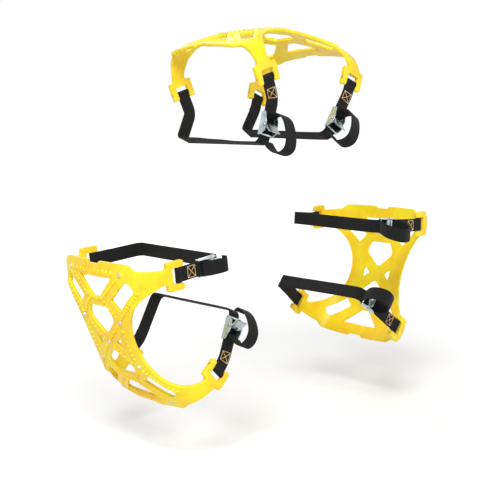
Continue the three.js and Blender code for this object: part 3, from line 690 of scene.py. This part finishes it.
def relief_points():
    """The flat points that a bump or a boss needs, each with its height above the pad."""
    points = []
    shapes = [(*place, BUMP_RADIUS, BUMP_RADIUS) for place in bump_places()]
    shapes += [(*place, CLEAT_WIDTH / 2, CLEAT_LENGTH / 2) for place in cleat_places()]
    for s, u, wide, tall in shapes:
        points.append((s, u, BUMP_HEIGHT))
        for share, height in BUMP_PROFILE:
            for a in around(12):
                turned = polar(share, a + share * math.pi / 6)
                points.append((s + wide * turned.x, u + tall * turned.y, height * BUMP_HEIGHT))
    for s, u in stud_places():
        points.append((s, u, BOSS_HEIGHT))
        for reach, height in ((STUD_RADIUS, 1), (BOSS_RADIUS - BOSS_SLOPE, 1), (BOSS_RADIUS, 0)):
            for a in around(16):
                points.append((s + reach * math.cos(a), u + reach * math.sin(a), height * BOSS_HEIGHT))
    return points


def pad_thickness(s):
    share = smoothstep(abs(s), FORK_BAR_S - THICKENING_LENGTH, FORK_BAR_S)
    return lerp(PAD_THICKNESS, FORK_THICKNESS, share)


def is_near(p, places, reach):
    return any((p - place).length < reach for place in places)


def flat_pad():
    """The pad laid out flat: its rims, the points and faces between them, and the points' heights."""
    rims = [pad_outline(), *pad_windows()]
    inner = [inset(rim, TOP_EDGE) for rim in rims]
    coords = [p for rim in inner for p in rim]
    edges = []
    first = 0
    for rim in inner:
        edges += [(first + k, first + (k + 1) % len(rim)) for k in range(len(rim))]
        first += len(rim)
    rim_count = len(coords)
    heights = [0.0] * rim_count
    relief = [(Vector((s, u)), h) for s, u, h in relief_points()]
    relief = [(p, h) for p, h in relief if on_pad(p, inner)]
    coords += [p for p, _ in relief]
    heights += [h for _, h in relief]
    bumps = [Vector(p) for p in bump_places()]
    cleats = cleat_places()
    wide, tall = CLEAT_WIDTH / 2 + RELIEF_CLEARANCE, CLEAT_LENGTH / 2 + RELIEF_CLEARANCE
    bosses = [Vector(p) for p in stud_places()]
    rows = math.ceil((ARM_U + FORK_WIDTH / 2) / GRID_STEP)
    columns = math.ceil(FORK_TIP_S / GRID_STEP)
    for i in range(-columns, columns + 1):
        for j in range(-rows, rows + 1):
            p = Vector(((i + 0.5 * (j % 2)) * GRID_STEP, j * GRID_STEP))
            near = (
                is_near(p, coords[:rim_count], 0.45 * GRID_STEP)
                or is_near(p, bumps, BUMP_RADIUS + RELIEF_CLEARANCE)
                or is_near(p, bosses, BOSS_RADIUS + RELIEF_CLEARANCE)
                or any(abs(p.x - s) < wide and abs(p.y - u) < tall for s, u in cleats)
            )
            if not near and on_pad(p, inner):
                coords.append(p)
                heights.append(0.0)
    points, _, faces, origins, _, _ = delaunay_2d_cdt(coords, edges, [], 0, 1e-5)
    place_of = {source: index for index, sources in enumerate(origins) for source in sources}
    height_of = [max([heights[source] for source in sources] or [0.0]) for sources in origins]
    kept = []
    for face in faces:
        middle = sum((points[k] for k in face), Vector((0, 0))) / len(face)
        if on_pad(middle, inner):
            kept.append(face if area_of([points[k] for k in face]) > 0 else face[::-1])
    return rims, points, kept, height_of, place_of


def bend_pad(chain, flat):
    rims, points, faces, height_of, place_of = flat

    def top(p, height):
        return wrap_pad(p.x, p.y, pad_thickness(p.x) + height, chain)

    vertices = [top(p, h) for p, h in zip(points, height_of)]
    bottom = len(vertices)
    vertices += [wrap_pad(p.x, p.y, 0, chain) for p in points]
    # the flat layout's S axis runs to the street side, so a face turned up there is turned in here
    polygons = [tuple(face[::-1]) for face in faces]
    polygons += [tuple(k + bottom for k in face) for face in faces]
    first = 0
    for rim in rims:
        count = len(rim)
        levels = []
        for step in range(1, EDGE_STEPS + 1):
            a = math.pi / 2 * step / EDGE_STEPS
            ring = inset(rim, TOP_EDGE * (1 - math.sin(a)))
            levels.append([top(p, TOP_EDGE * (math.cos(a) - 1)) for p in ring])
        for height, depth in ((BOTTOM_EDGE, 0), (0, BOTTOM_EDGE)):
            levels.append([wrap_pad(p.x, p.y, height, chain) for p in inset(rim, depth)])
        rings = [[place_of[first + k] for k in range(count)]]
        for level in levels:
            rings.append(range(len(vertices), len(vertices) + count))
            vertices += level
        rings.append([k + bottom for k in rings[0]])
        for upper, lower in zip(rings, rings[1:]):
            polygons += band(upper, lower)
        first += count
    return vertices, polygons


def evaluated_mesh(piece):
    bpy.context.view_layer.update()
    graph = bpy.context.evaluated_depsgraph_get()
    return bpy.data.meshes.new_from_object(piece.evaluated_get(graph))


def combine(piece, other, operation):
    """Joins another closed mesh to a piece or takes it out of the piece."""
    modifier = piece.modifiers.new("combine", "BOOLEAN")
    modifier.operation = operation
    modifier.solver = "MANIFOLD"
    modifier.object = other
    made = evaluated_mesh(piece)
    piece.modifiers.clear()
    old = piece.data
    piece.data = made
    bpy.data.meshes.remove(old)
    bpy.data.objects.remove(other)


def raw_piece(name, vertices, faces):
    mesh = bpy.data.meshes.new(name)
    mesh.from_pydata([tuple(v) for v in vertices], [], faces)
    return add_object(name, mesh)


def lathe(profile, sides=32):
    """A solid of revolution about Z from (radius, z) points that start and end on the axis."""
    vertices, rings = [], []
    for radius, z in profile:
        ring = [Vector((*polar(radius, a), z)) for a in (around(sides) if radius else [0])]
        rings.append(range(len(vertices), len(vertices) + len(ring)))
        vertices += ring
    return vertices, [face for low, high in zip(rings, rings[1:]) for face in band(low, high)]


def joined(parts):
    """Several (vertices, faces) as one."""
    vertices, faces = [], []
    for part_vertices, part_faces in parts:
        faces += [tuple(k + len(vertices) for k in face) for face in part_faces]
        vertices += part_vertices
    return vertices, faces


def copies(shape, matrices):
    """One (vertices, faces) at several places."""
    vertices, faces = shape
    return joined([([matrix @ v for v in vertices], faces) for matrix in matrices])


def pin_cutters(chain):
    length = FORK_WIDTH
    profile = [(0, -length), (PIN_HOLE, -length), (PIN_HOLE, length), (0, length)]
    places = [pin_frame(chain, side, face) for face in (STREET, VEHICLE) for side in (-1, 1)]
    return copies(lathe(profile, 24), places)


def pad_normal_frame(s, u, chain, height):
    """A frame on the pad's face with Z standing off it."""
    place = wrap_pad(s, u, height, chain)
    up = (wrap_pad(s, u, height + 1, chain) - place).normalized()
    along = (wrap_pad(s, u + 1, height, chain) - place).normalized()
    return frame_at(place, along, up.cross(along), up)


def studs(name, chain):
    """Round steel studs with a domed rim and a small raised tip, pressed into the pad's bosses."""
    radius = STUD_RADIUS - STUD_FIT
    profile = [(0, -STUD_DEPTH), (radius, -STUD_DEPTH)]
    profile += [(radius * wide, STUD_HEIGHT * high) for wide, high in STUD_PROFILE]
    places = [pad_normal_frame(s, u, chain, pad_thickness(s) + BOSS_HEIGHT) for s, u in stud_places()]
    piece = make_piece(name + "_studs", *copies(lathe(profile, 24), places), "stud_steel")
    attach(piece, ROOT)


def tread_pad(name, chain, flat):
    vertices, faces = bend_pad(chain, flat)
    pad = make_piece(name + "_pad_moulding", vertices, faces, "pad_plastic", 50)
    cutter = raw_piece("cutter", *pin_cutters(chain))
    cutter.data.transform(Matrix.Scale(MM, 4))
    combine(pad, cutter, "DIFFERENCE")
    pad.data.name = pad.name
    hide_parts(name + "_tread_pad")
    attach(pad, ROOT)
    studs(name, chain)


# ---- Straps ----

def bend_strap(point, bend):
    """Takes a point of a straight strap to the bent one; bend says where it starts and turns."""
    x, y, z = point
    start, turn = bend
    turned = min(1, max(0, (x - start) / BEND_LENGTH)) * turn
    beyond = max(0, x - start - BEND_LENGTH)
    radius = BEND_LENGTH / turn
    along = min(x, start) + radius * math.sin(turned) + beyond * math.cos(turned)
    aside = radius * (1 - math.cos(turned)) + beyond * math.sin(turned)
    return Vector((along - z * math.sin(turned), y, aside + z * math.cos(turned)))


def height_frame(matrix, face):
    """The axle's outward direction in a strap's own frame, and that frame's height."""
    outward = matrix.to_3x3().inverted() @ Vector((0, face, 0))
    return outward, face * matrix.translation.y


def cross_to_middle(point, start, outward):
    """Runs what lies deeper than start parallel to the axle."""
    deeper = max(0, start - point.y)
    return point - Vector((outward.x, 0, outward.z)) * (deeper / outward.y)


def run(x0, y0, x1, y1, step):
    """A straight run of a strap's line, with a point every step or so."""
    a, b = Vector((x0, y0)), Vector((x1, y1))
    count = max(1, math.ceil((b - a).length / step))
    return [a.lerp(b, k / count) for k in range(count + 1)]


def smooth_curve(points, steps):
    """A smooth line through the points (Catmull-Rom)."""
    made = []
    for i in range(len(points) - 1):
        p0, p1 = points[max(i - 1, 0)], points[i]
        p2, p3 = points[i + 1], points[min(i + 2, len(points) - 1)]
        for k in range(steps):
            t = k / steps
            made.append(0.5 * (
                2 * p1 + (p2 - p0) * t + (2 * p0 - 5 * p1 + 4 * p2 - p3) * t**2
                + (3 * p1 - p0 - 3 * p2 + p3) * t**3
            ))
    return made + [points[-1]]


def tube_faces(rings, sides, closed=False):
    """The faces of a swept section, with its two ends unless it closes on itself."""
    rows = [range(k * sides, (k + 1) * sides) for k in range(rings)]
    faces = [face for low, high in zip(rows, rows[1:] + rows[:closed]) for face in band(low, high)]
    return faces if closed else faces + [tuple(reversed(rows[0])), tuple(rows[-1])]


def web_section():
    """The webbing's section as (share of thickness, place across): flat faces and rounded selvedges."""
    half = WEB_WIDTH / 2
    round_off = 0.8
    faces = [half - round_off - k * (WEB_WIDTH - 2 * round_off) / 8 for k in range(9)]
    upper = [(0.5, z) for z in faces] + [(0.36, 0.2 - half), (0, -half), (-0.36, 0.2 - half)]
    return upper + [(-thick, -z) for thick, z in upper]


def web_strip(line, place, closed=False):
    """Webbing swept along a line seen from its edge; place takes a point to the world."""
    section = web_section()
    count = len(line)
    vertices, uvs = [], []
    along = 0
    for i, p in enumerate(line):
        before = line[i - 1] if closed or i else p
        after = line[(i + 1) % count] if closed or i < count - 1 else p
        tangent = (after - before).normalized()
        normal = Vector((-tangent.y, tangent.x))
        if i:
            along += (p - line[i - 1]).length
        for thick, z in section:
            at = p + normal * (thick * WEB_THICKNESS)
            vertices.append(place(Vector((at.x, at.y, z))))
            uvs.append((along * MM, (z if thick > -0.4 else 3 * WEB_WIDTH - z) * MM))
    return vertices, tube_faces(count, len(section), closed), uvs


def outward_faces(mesh, weld=0):
    """Turns every face of a closed mesh outwards, after joining points closer than weld."""
    bm = bmesh.new()
    bm.from_mesh(mesh)
    if weld:
        bmesh.ops.remove_doubles(bm, verts=bm.verts, dist=weld)
    bmesh.ops.recalc_face_normals(bm, faces=bm.faces)
    bm.to_mesh(mesh)
    bm.free()


def strap_piece(name, strip):
    vertices, faces, uvs = strip
    piece = make_piece(name, vertices, faces, "webbing", 60, uvs)
    outward_faces(piece.data)
    return piece


def stitch(a, b, place):
    """One stitch of thread, a short rounded strand that dips into the webbing at both ends."""
    vertices = []
    direction = (b - a).normalized()
    across = Vector((-direction.z, 0, direction.x))
    steps, sides = 6, 6
    for i in range(steps + 1):
        share = i / steps
        lift = THREAD_RADIUS * (1.6 * math.sin(math.pi * share) - 0.7)
        centre = a.lerp(b, share) + Vector((0, lift, 0))
        for angle in around(sides):
            offset = across * math.cos(angle) + Vector((0, 1, 0)) * math.sin(angle)
            vertices.append(place(centre + offset * THREAD_RADIUS))
    return vertices, tube_faces(steps + 1, sides)


def box_stitching(name, first, last, place, body):
    """A sewn box with a cross in it, on the webbing's outer face."""
    half = WEB_WIDTH / 2 - STITCHING_MARGIN
    outline = ((first, -half), (last, -half), (last, half), (first, half))
    corners = [Vector((x, SEWN_TOP, z)) for x, z in outline]
    lines = [*sides_of(corners), (corners[0], corners[2]), (corners[1], corners[3])]
    parts = []
    for start, end in lines:
        count = max(1, round((end - start).length / STITCH_PITCH))
        for k in range(count):
            a, b = start.lerp(end, (k + 0.07) / count), start.lerp(end, (k + 0.93) / count)
            parts.append(stitch(a, b, place))
    piece = make_piece(name, *joined(parts), "thread")
    outward_faces(piece.data)
    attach(piece, body)


def pin_wrap():
    """The webbing's turn round a fork's pin, open towards the buckle."""
    return arc_points(0, 0, PIN_LOOP, WRAP_OPENING, 360 - WRAP_OPENING, 20)


def short_strap(prefix, body, bend, reach, matrix):
    """A loop of webbing round the fork's pin and the buckle's rear bar, its two layers sewn."""
    bar_mouth = reach - BAR_LOOP - HALF_WEB - BAR_LOOP_MOUTH
    line = pin_wrap()
    line += run(PIN_MOUTH, -LAYER, bar_mouth, -LAYER, 2)
    line += arc_points(reach, 0, BAR_LOOP, WRAP_OPENING - 180, 180 - WRAP_OPENING, 20)
    line += run(bar_mouth, LAYER, PIN_MOUTH, LAYER, 2)
    place = lambda p: matrix @ bend_strap(p, bend)
    strap = strap_piece(prefix + "short_webbing", web_strip(line, place, True))
    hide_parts(prefix + "short_strap")
    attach(strap, body)
    box_stitching(prefix + "short_strap_stitching", *SHORT_STITCHING, place, body)


def aim_strap(matrix, face, target, start):
    """The turn and reach that bring a strap from one pin's frame to a line parallel to the axle."""
    local = matrix.inverted() @ target
    outward, _ = height_frame(matrix, face)
    local -= outward * (local.y / outward.y)
    turn, tangent = 0.01, BEND_LENGTH / 2
    for _ in range(8):
        turn = math.atan2(local.z, local.x - start - tangent) or 0.01
        tangent = BEND_LENGTH / turn * math.tan(turn / 2)
    straight = math.hypot(local.z, local.x - start - tangent) - tangent
    return turn, start + BEND_LENGTH + straight


def spare_end(strap):
    """The long strap's end: from under the cam, over the rear bar and round in a loose loop."""
    loop = [
        (1, 9.5), (-1, 18), (0, 31), (7, 44), (21, 54),
        (BUCKLE_LENGTH - 1, 60), (BUCKLE_LENGTH + 13, 60), (BUCKLE_LENGTH + 22, 51),
        (BUCKLE_LENGTH + 25, 37), (BUCKLE_LENGTH + 20, 21), (BUCKLE_LENGTH + 10, 8),
    ]
    start = AXLE_X - SPARE_STARTS_BEFORE_AXLE
    first, last = Vector(loop[0]), Vector(loop[-1])
    # two points lift the strap off the plate towards the rear bar
    points = [Vector((start - 3, STRAP_N + 1.6)), Vector((start - 6.4, STRAP_N + 6))]
    for i, place in enumerate(loop):
        anchor = first.lerp(last, i / (len(loop) - 1))
        points.append(anchor + (Vector(place) - anchor) * strap["loop"])
    return start, smooth_curve([Vector((start, STRAP_N))] + points, 8)


def crossing(x, deep, below):
    """A strap's line from the wheel's mid-plane up and round the corner to the sidewall."""
    corner = CROSSING_CORNER
    return run(x, deep, x, below, 3)[:-1] + arc_points(x - corner, below, corner, 0, 90, 8)


def long_strap(prefix, strap, buckle, vehicle):
    """One webbing from the vehicle-side pin through the wheel and the buckle to its spare end."""
    outward, height = height_frame(buckle, STREET)
    corner = CROSSING_CORNER
    below = STRAP_N - corner
    start, spare = spare_end(strap)

    def street_place(p):
        beyond = max(0, p.y - LEAN_FROM)
        tipped = Vector((p.x + strap["sweep"] * beyond, p.y, p.z - strap["lean"] * beyond))
        return buckle @ cross_to_middle(tipped, below, outward)

    street = crossing(CROSSING_X, -height / outward.y, below)
    street += run(CROSSING_X - corner, STRAP_N, start, STRAP_N, 2.5)[1:-1] + spare
    target = buckle @ cross_to_middle(Vector((CROSSING_X, 2 * -corner, 0)), below, outward)
    turn, reach = aim_strap(vehicle, VEHICLE, target, strap["bend_from"])
    bend = (strap["bend_from"], turn)
    inner_outward, inner_height = height_frame(vehicle, VEHICLE)
    inner_below = -HALF_WEB - corner

    def vehicle_place(p):
        return vehicle @ cross_to_middle(bend_strap(p, bend), inner_below, inner_outward)

    inner = run(SEWN_LENGTH, LAYER, PIN_MOUTH, LAYER, 2) + pin_wrap()
    inner += run(PIN_MOUTH, -LAYER, reach - corner, -HALF_WEB, 3)[:-1]
    inner += crossing(reach, -inner_height / inner_outward.y, inner_below)[::-1]
    long_piece(prefix, web_strip(street, street_place), web_strip(inner, vehicle_place))
    box_stitching(prefix + "long_strap_stitching", *LONG_STITCHING, vehicle_place, ROOT)


def long_piece(prefix, street, inner):
    """Joins the two runs' rings at the mid-plane, where they meet, into one strap."""
    n = len(web_section())
    inner_vertices, _, inner_uvs = inner
    street_vertices, _, street_uvs = street
    rings = (len(inner_vertices) + len(street_vertices)) // n - 1
    meeting = street_vertices[:n]
    ending = inner_vertices[-n:]
    order = min(
        ([(k * step + shift) % n for k in range(n)] for step in (1, -1) for shift in range(n)),
        key=lambda way: sum((meeting[way[k]] - ending[k]).length for k in range(n)),
    )
    # the runs lie at slightly different angles, so each takes half of the twist between them
    twist = [(meeting[order[k]] - ending[k]) / 2 for k in range(n)]
    start = inner_uvs[-1][0]
    vertices = []
    for i, v in enumerate(inner_vertices):
        from_meeting = (start - inner_uvs[i][0]) / MM
        vertices.append(v + twist[i % n] * (1 - smoothstep(from_meeting, 0, TWIST_LENGTH)))
    uvs = list(inner_uvs)
    for ring in range(n, len(street_vertices), n):
        for k in range(n):
            along, across = street_uvs[ring + order[k]]
            v = street_vertices[ring + order[k]]
            vertices.append(v - twist[k] * (1 - smoothstep(along / MM, 0, TWIST_LENGTH)))
            uvs.append((start + along, across))
    strap = strap_piece(prefix + "long_webbing", (vertices, tube_faces(rings, n), uvs))
    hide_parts(prefix + "strap_inner_run", prefix + "strap_outer_run")
    # the blend ends at the street run's thirteenth ring, about 35 mm from the mid-plane
    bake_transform(strap)


# ---- Buckles ----

def plate_piece(name, outline, holes, width, edge):
    """A flat outline in X and Y with holes, width thick along Z, its edges rounded."""
    curve = bpy.data.curves.new(name, "CURVE")
    curve.dimensions = "2D"
    curve.fill_mode = "BOTH"
    curve.extrude = width / 2 - edge
    curve.bevel_depth = edge
    curve.bevel_resolution = 2
    curve.offset = -edge
    for points in (outline, *holes):
        spline = curve.splines.new("POLY")
        spline.points.add(len(points) - 1)
        for target, p in zip(spline.points, points):
            target.co = (p.x, p.y, 0, 1)
        spline.use_cyclic_u = True
    made = add_object(name, curve)
    mesh = evaluated_mesh(made)
    bpy.data.objects.remove(made)
    bpy.data.curves.remove(curve)
    outward_faces(mesh, weld=0.001)
    return add_object(name, mesh)


def axle_hole(x, y):
    return arc_points(x, y, AXLE_RADIUS + GAP, 0, 345, 23)


def box_outline(low_x, high_x, low_y, high_y, fillet):
    corners = [(low_x, low_y), (high_x, low_y), (high_x, high_y), (low_x, high_y)]
    return filleted([fillet] * 4, corners)


def turned_rod(name, radius, half, edge=0.3):
    profile = [(0, -half), (radius - edge, -half), (radius, -half + edge)]
    profile += [(radius, half - edge), (radius - edge, half), (0, half)]
    return raw_piece(name, *lathe(profile, 28))


def to_world(piece, name, matrix, slot, node, body):
    """Takes a piece built in the buckle's frame to its place and finishes it."""
    piece.data.transform(Matrix.Scale(MM, 4) @ matrix)
    mesh = piece.data
    bpy.data.objects.remove(piece)
    made = finish_piece(name, mesh, slot, 40)
    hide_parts(node)
    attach(made, body)


def buckle_frame(prefix, body, matrix):
    top = PLATE_BOTTOM + EAR_HEIGHT
    back = -REAR_BAR_RADIUS - EAR_BACK
    outline = rounded_outline([
        (back, PLATE_BOTTOM, 1.5),
        (BUCKLE_LENGTH, PLATE_BOTTOM, 1.5),
        (BUCKLE_LENGTH, PLATE_BOTTOM + EAR_NOSE_HEIGHT, 2),
        (AXLE_X + EAR_TOP_BEYOND_AXLE, top, 4),
        (AXLE_X - EAR_TOP_BEFORE_AXLE, top, 4),
        (back, REAR_BAR_RADIUS + EAR_BACK, 2),
    ])
    weld = EAR_INNER + EAR_THICKNESS / 2
    ears = []
    for z in (weld, -weld):
        ear = plate_piece("ear", outline, [axle_hole(AXLE_X, AXLE_N)], EAR_THICKNESS, EAR_EDGE)
        ear.data.transform(Matrix.Translation((0, 0, z)))
        ears.append(ear)
    made, other_ear = ears
    combine(made, other_ear, "UNION")
    bridge_low = STRAP_TOP + 2 * GAP
    bridge_high = bridge_low + BRIDGE_THICKNESS
    plates = [
        (PLATE_START, BUCKLE_LENGTH, PLATE_BOTTOM, PLATE_TOP),
        (BUCKLE_LENGTH - BRIDGE_LENGTH, BUCKLE_LENGTH - BRIDGE_SETBACK, bridge_low, bridge_high),
    ]
    for sides in plates:
        plate = plate_piece("plate", box_outline(*sides, PLATE_CORNER), [], 2 * weld, PLATE_EDGE)
        combine(made, plate, "UNION")
    combine(made, turned_rod("bar", REAR_BAR_RADIUS, EAR_OUTER + 0.4), "UNION")
    to_world(made, prefix + "buckle", matrix, "zinc_steel", prefix + "buckle_frame", body)


def cam_lever(prefix, body, matrix):
    teeth = []
    for k in range(2 * CAM_TEETH + 1):
        a = math.radians(CAM_FIRST_TOOTH_ANGLE + CAM_TOOTHED_ANGLE * k / (2 * CAM_TEETH))
        teeth.append(polar(CAM_BITE - (CAM_TOOTH if k % 2 else 0), a))
    tab = math.radians(TAB_ANGLE)
    along = polar(1, tab)
    across = Vector((-along.y, along.x))
    crown = CAM_BASE_RADIUS - TAB_THICKNESS / 2

    def at(reach, side, lip=0):
        return along * reach + across * (side * TAB_THICKNESS / 2 + crown + lip)

    outline = [
        *teeth,
        *arc_points(0, 0, CAM_BASE_RADIUS, -45, TAB_ANGLE + 20, 12),
        at(CAM_BASE_RADIUS + 2, -1),
        at(TAB_LENGTH - 3, -1),
        at(TAB_LENGTH, -1, TAB_LIP),
        at(TAB_LENGTH, 1, TAB_LIP),
        at(TAB_LENGTH - 4, 1),
        *arc_points(0, 0, CAM_BASE_RADIUS, TAB_ANGLE + 90, 215, 14),
    ]
    lever = plate_piece("lever", outline, [axle_hole(0, 0)], 2 * (EAR_INNER - SIDE_GAP), LEVER_EDGE)
    wide = SPRING_RADIUS + GAP
    deep = 2 * CAM_BITE
    slot = plate_piece("slot", box_outline(-wide, wide, -deep, deep, 0.4), [], SPRING_WIDTH + 2 * GAP,
                       PLATE_EDGE)
    slot.data.transform(Matrix.Rotation(tab, 4, "Z"))
    combine(lever, slot, "DIFFERENCE")
    to_world(lever, prefix + "lever", matrix, "zinc_steel", prefix + "cam_lever", body)


def cam_axle(prefix, body, matrix):
    shaft = EAR_OUTER + GAP
    end = shaft + AXLE_HEAD
    half = [(AXLE_RADIUS, shaft), (AXLE_HEAD_RADIUS - 0.2, shaft), (AXLE_HEAD_RADIUS, shaft + 0.25)]
    half += [(AXLE_HEAD_RADIUS - 0.3, shaft + 0.7), (AXLE_HEAD_RADIUS - 1.2, end - 0.1), (0, end)]
    profile = [(r, -z) for r, z in reversed(half)] + half
    axle = raw_piece("axle", *lathe(profile, 28))
    to_world(axle, prefix + "axle", matrix, "pin_steel", prefix + "cam_axle", body)


def cam_spring(prefix, body, matrix):
    """A torsion spring: close turns of round wire on the axle."""
    coil = SPRING_RADIUS - WIRE_RADIUS
    steps, sides = 20 * SPRING_TURNS, 8
    length = SPRING_WIDTH - 2 * WIRE_RADIUS
    vertices = []
    for i in range(steps + 1):
        a = 2 * math.pi * SPRING_TURNS * i / steps
        z = -length / 2 + length * i / steps
        for b in around(sides):
            reach = coil + WIRE_RADIUS * math.cos(b)
            vertices.append((*polar(reach, a), z + WIRE_RADIUS * math.sin(b)))
    spring = raw_piece("spring", vertices, tube_faces(steps + 1, sides))
    outward_faces(spring.data)
    to_world(spring, prefix + "spring", matrix, "pin_steel", prefix + "cam_spring", body)


def fork_pin(name, node, matrix):
    pin = turned_rod("pin", PIN_RADIUS, FORK_WIDTH / 2 - PIN_RECESS, 0.4)
    to_world(pin, name, matrix, "pin_steel", node, ROOT)


def chain_strap(prefix, chain, strap):
    body = prefix + "buckle"
    street = pin_frame(chain, strap["side"], STREET)
    vehicle = pin_frame(chain, strap["side"], VEHICLE)
    bend = (strap["bend_from"], -math.radians(strap["turn"]))
    buckle = street @ Matrix.Translation(bend_strap((strap["reach"], 0, 0), bend))
    buckle = buckle @ Matrix.Rotation(-bend[1], 4, "Y")
    axle = buckle @ Matrix.Translation((AXLE_X, AXLE_N, 0))
    fork_pin(prefix + "street_rod", prefix + "street_pin", street)
    fork_pin(prefix + "vehicle_rod", prefix + "vehicle_pin", vehicle)
    short_strap(prefix, body, bend, strap["reach"], street)
    long_strap(prefix, strap, buckle, vehicle)
    buckle_frame(prefix, body, buckle)
    cam_axle(prefix, body, axle)
    cam_spring(prefix, body, axle)
    cam_lever(prefix, prefix + "lever", axle)


FLAT_PAD = flat_pad()
for chain_name, chain in CHAINS.items():
    tread_pad(chain_name, chain, FLAT_PAD)
    for strap_name, strap in chain["straps"].items():
        chain_strap(chain_name + "_" + strap_name + "_", chain, strap)


# ---- Studio and camera ----

WORLD_LIGHT = 0.36
GLOW_UNDER_OBJECT = 0.12
GLOW_FAR_OFF = 0.75
GLOW_RISES_FROM = 0.5
GLOW_RISES_TO = 3
FLOOR_SIZE = 40


def seen_rays(m):
    """1 for what the camera, a reflection or a clear material sees, and 0 for light on the object."""
    path = m.add("ShaderNodeLightPath").outputs
    glossy = m.math("MAXIMUM", path["Is Camera Ray"], path["Is Glossy Ray"])
    return m.math("MAXIMUM", glossy, path["Is Transmission Ray"])


def studio_world():
    world = bpy.data.worlds.new("studio")
    bpy.context.scene.world = world
    m = Nodes(world)
    m.set(Color=(1, 1, 1, 1), Strength=WORLD_LIGHT)
    shown = m.add("ShaderNodeBackground", Color=(1, 1, 1, 1), Strength=1)
    mix = m.add("ShaderNodeMixShader")
    m.link(seen_rays(m), mix, "Fac")
    m.link(m.shader.outputs[0], mix, 1)
    m.link(shown.outputs[0], mix, 2)
    m.link(mix.outputs[0], m.tree.nodes["World Output"], "Surface")


def floor():
    """A pale floor that looks white where nothing shades it, by glowing where the lamps are far off."""
    material = bpy.data.materials.new("floor")
    m = Nodes(material)
    m.set(Base_Color=(0.93, 0.93, 0.93, 1), Roughness=0.9)
    distance = m.add("ShaderNodeVectorMath", operation="LENGTH")
    m.link(m.coordinates(), distance, 0)
    rise = m.spread(distance.outputs["Value"], GLOW_UNDER_OBJECT, GLOW_FAR_OFF,
                    From_Min=GLOW_RISES_FROM, From_Max=GLOW_RISES_TO)
    glow = m.add("ShaderNodeEmission")
    m.link(m.math("MULTIPLY", rise, seen_rays(m)), glow, "Strength")
    both = m.add("ShaderNodeAddShader")
    m.link(m.shader.outputs[0], both, 0)
    m.link(glow.outputs[0], both, 1)
    m.link(both.outputs[0], m.tree.nodes["Material Output"], "Surface")
    bpy.ops.mesh.primitive_plane_add(size=FLOOR_SIZE, location=(0, 0, -TYRE_RADIUS * MM))
    plane = bpy.context.object
    plane.name = "floor"
    plane.data.materials.append(material)


def aimed(name, data, place, target):
    """An object that looks from one place at another."""
    made = add_object(name, data)
    made.location = place
    made.rotation_euler = (target - Vector(place)).to_track_quat("-Z", "Y").to_euler()
    return made


def lamp(name, place, size, power):
    light = bpy.data.lights.new(name, "AREA")
    light.shape = "DISK"
    light.size = size
    light.energy = power
    aimed(name, light, place, Vector())


CAMERA_DISTANCE = 1.9205
CAMERA_AZIMUTH = math.radians(-41.97)
CAMERA_ELEVATION = math.radians(6.6)
AIM_RIGHT = -0.0378
AIM_UP = -0.0088
LENS = 76.23
SENSOR = 36


def camera():
    """The viewpoint, and its aim beside the wheel's centre."""
    right = Vector((math.cos(CAMERA_AZIMUTH), math.sin(CAMERA_AZIMUTH), 0))
    away = Vector((right.y, -right.x, 0)) * math.cos(CAMERA_ELEVATION)
    back = away + Vector((0, 0, math.sin(CAMERA_ELEVATION)))
    up = back.cross(right)
    place = back * CAMERA_DISTANCE
    target = right * AIM_RIGHT + up * AIM_UP
    data = bpy.data.cameras.new("camera")
    data.lens = LENS
    data.sensor_width = SENSOR
    bpy.context.scene.camera = aimed("camera", data, place, target)


studio_world()
floor()
lamp("key", place=(-1.7, -1.5, 1.9), size=1.1, power=71)
lamp("fill", place=(1.6, -2.2, 0.9), size=1.8, power=16)
lamp("back", place=(0.6, 2.2, 1.8), size=1.6, power=18)
camera()
bpy.context.scene.view_settings.view_transform = "Standard"
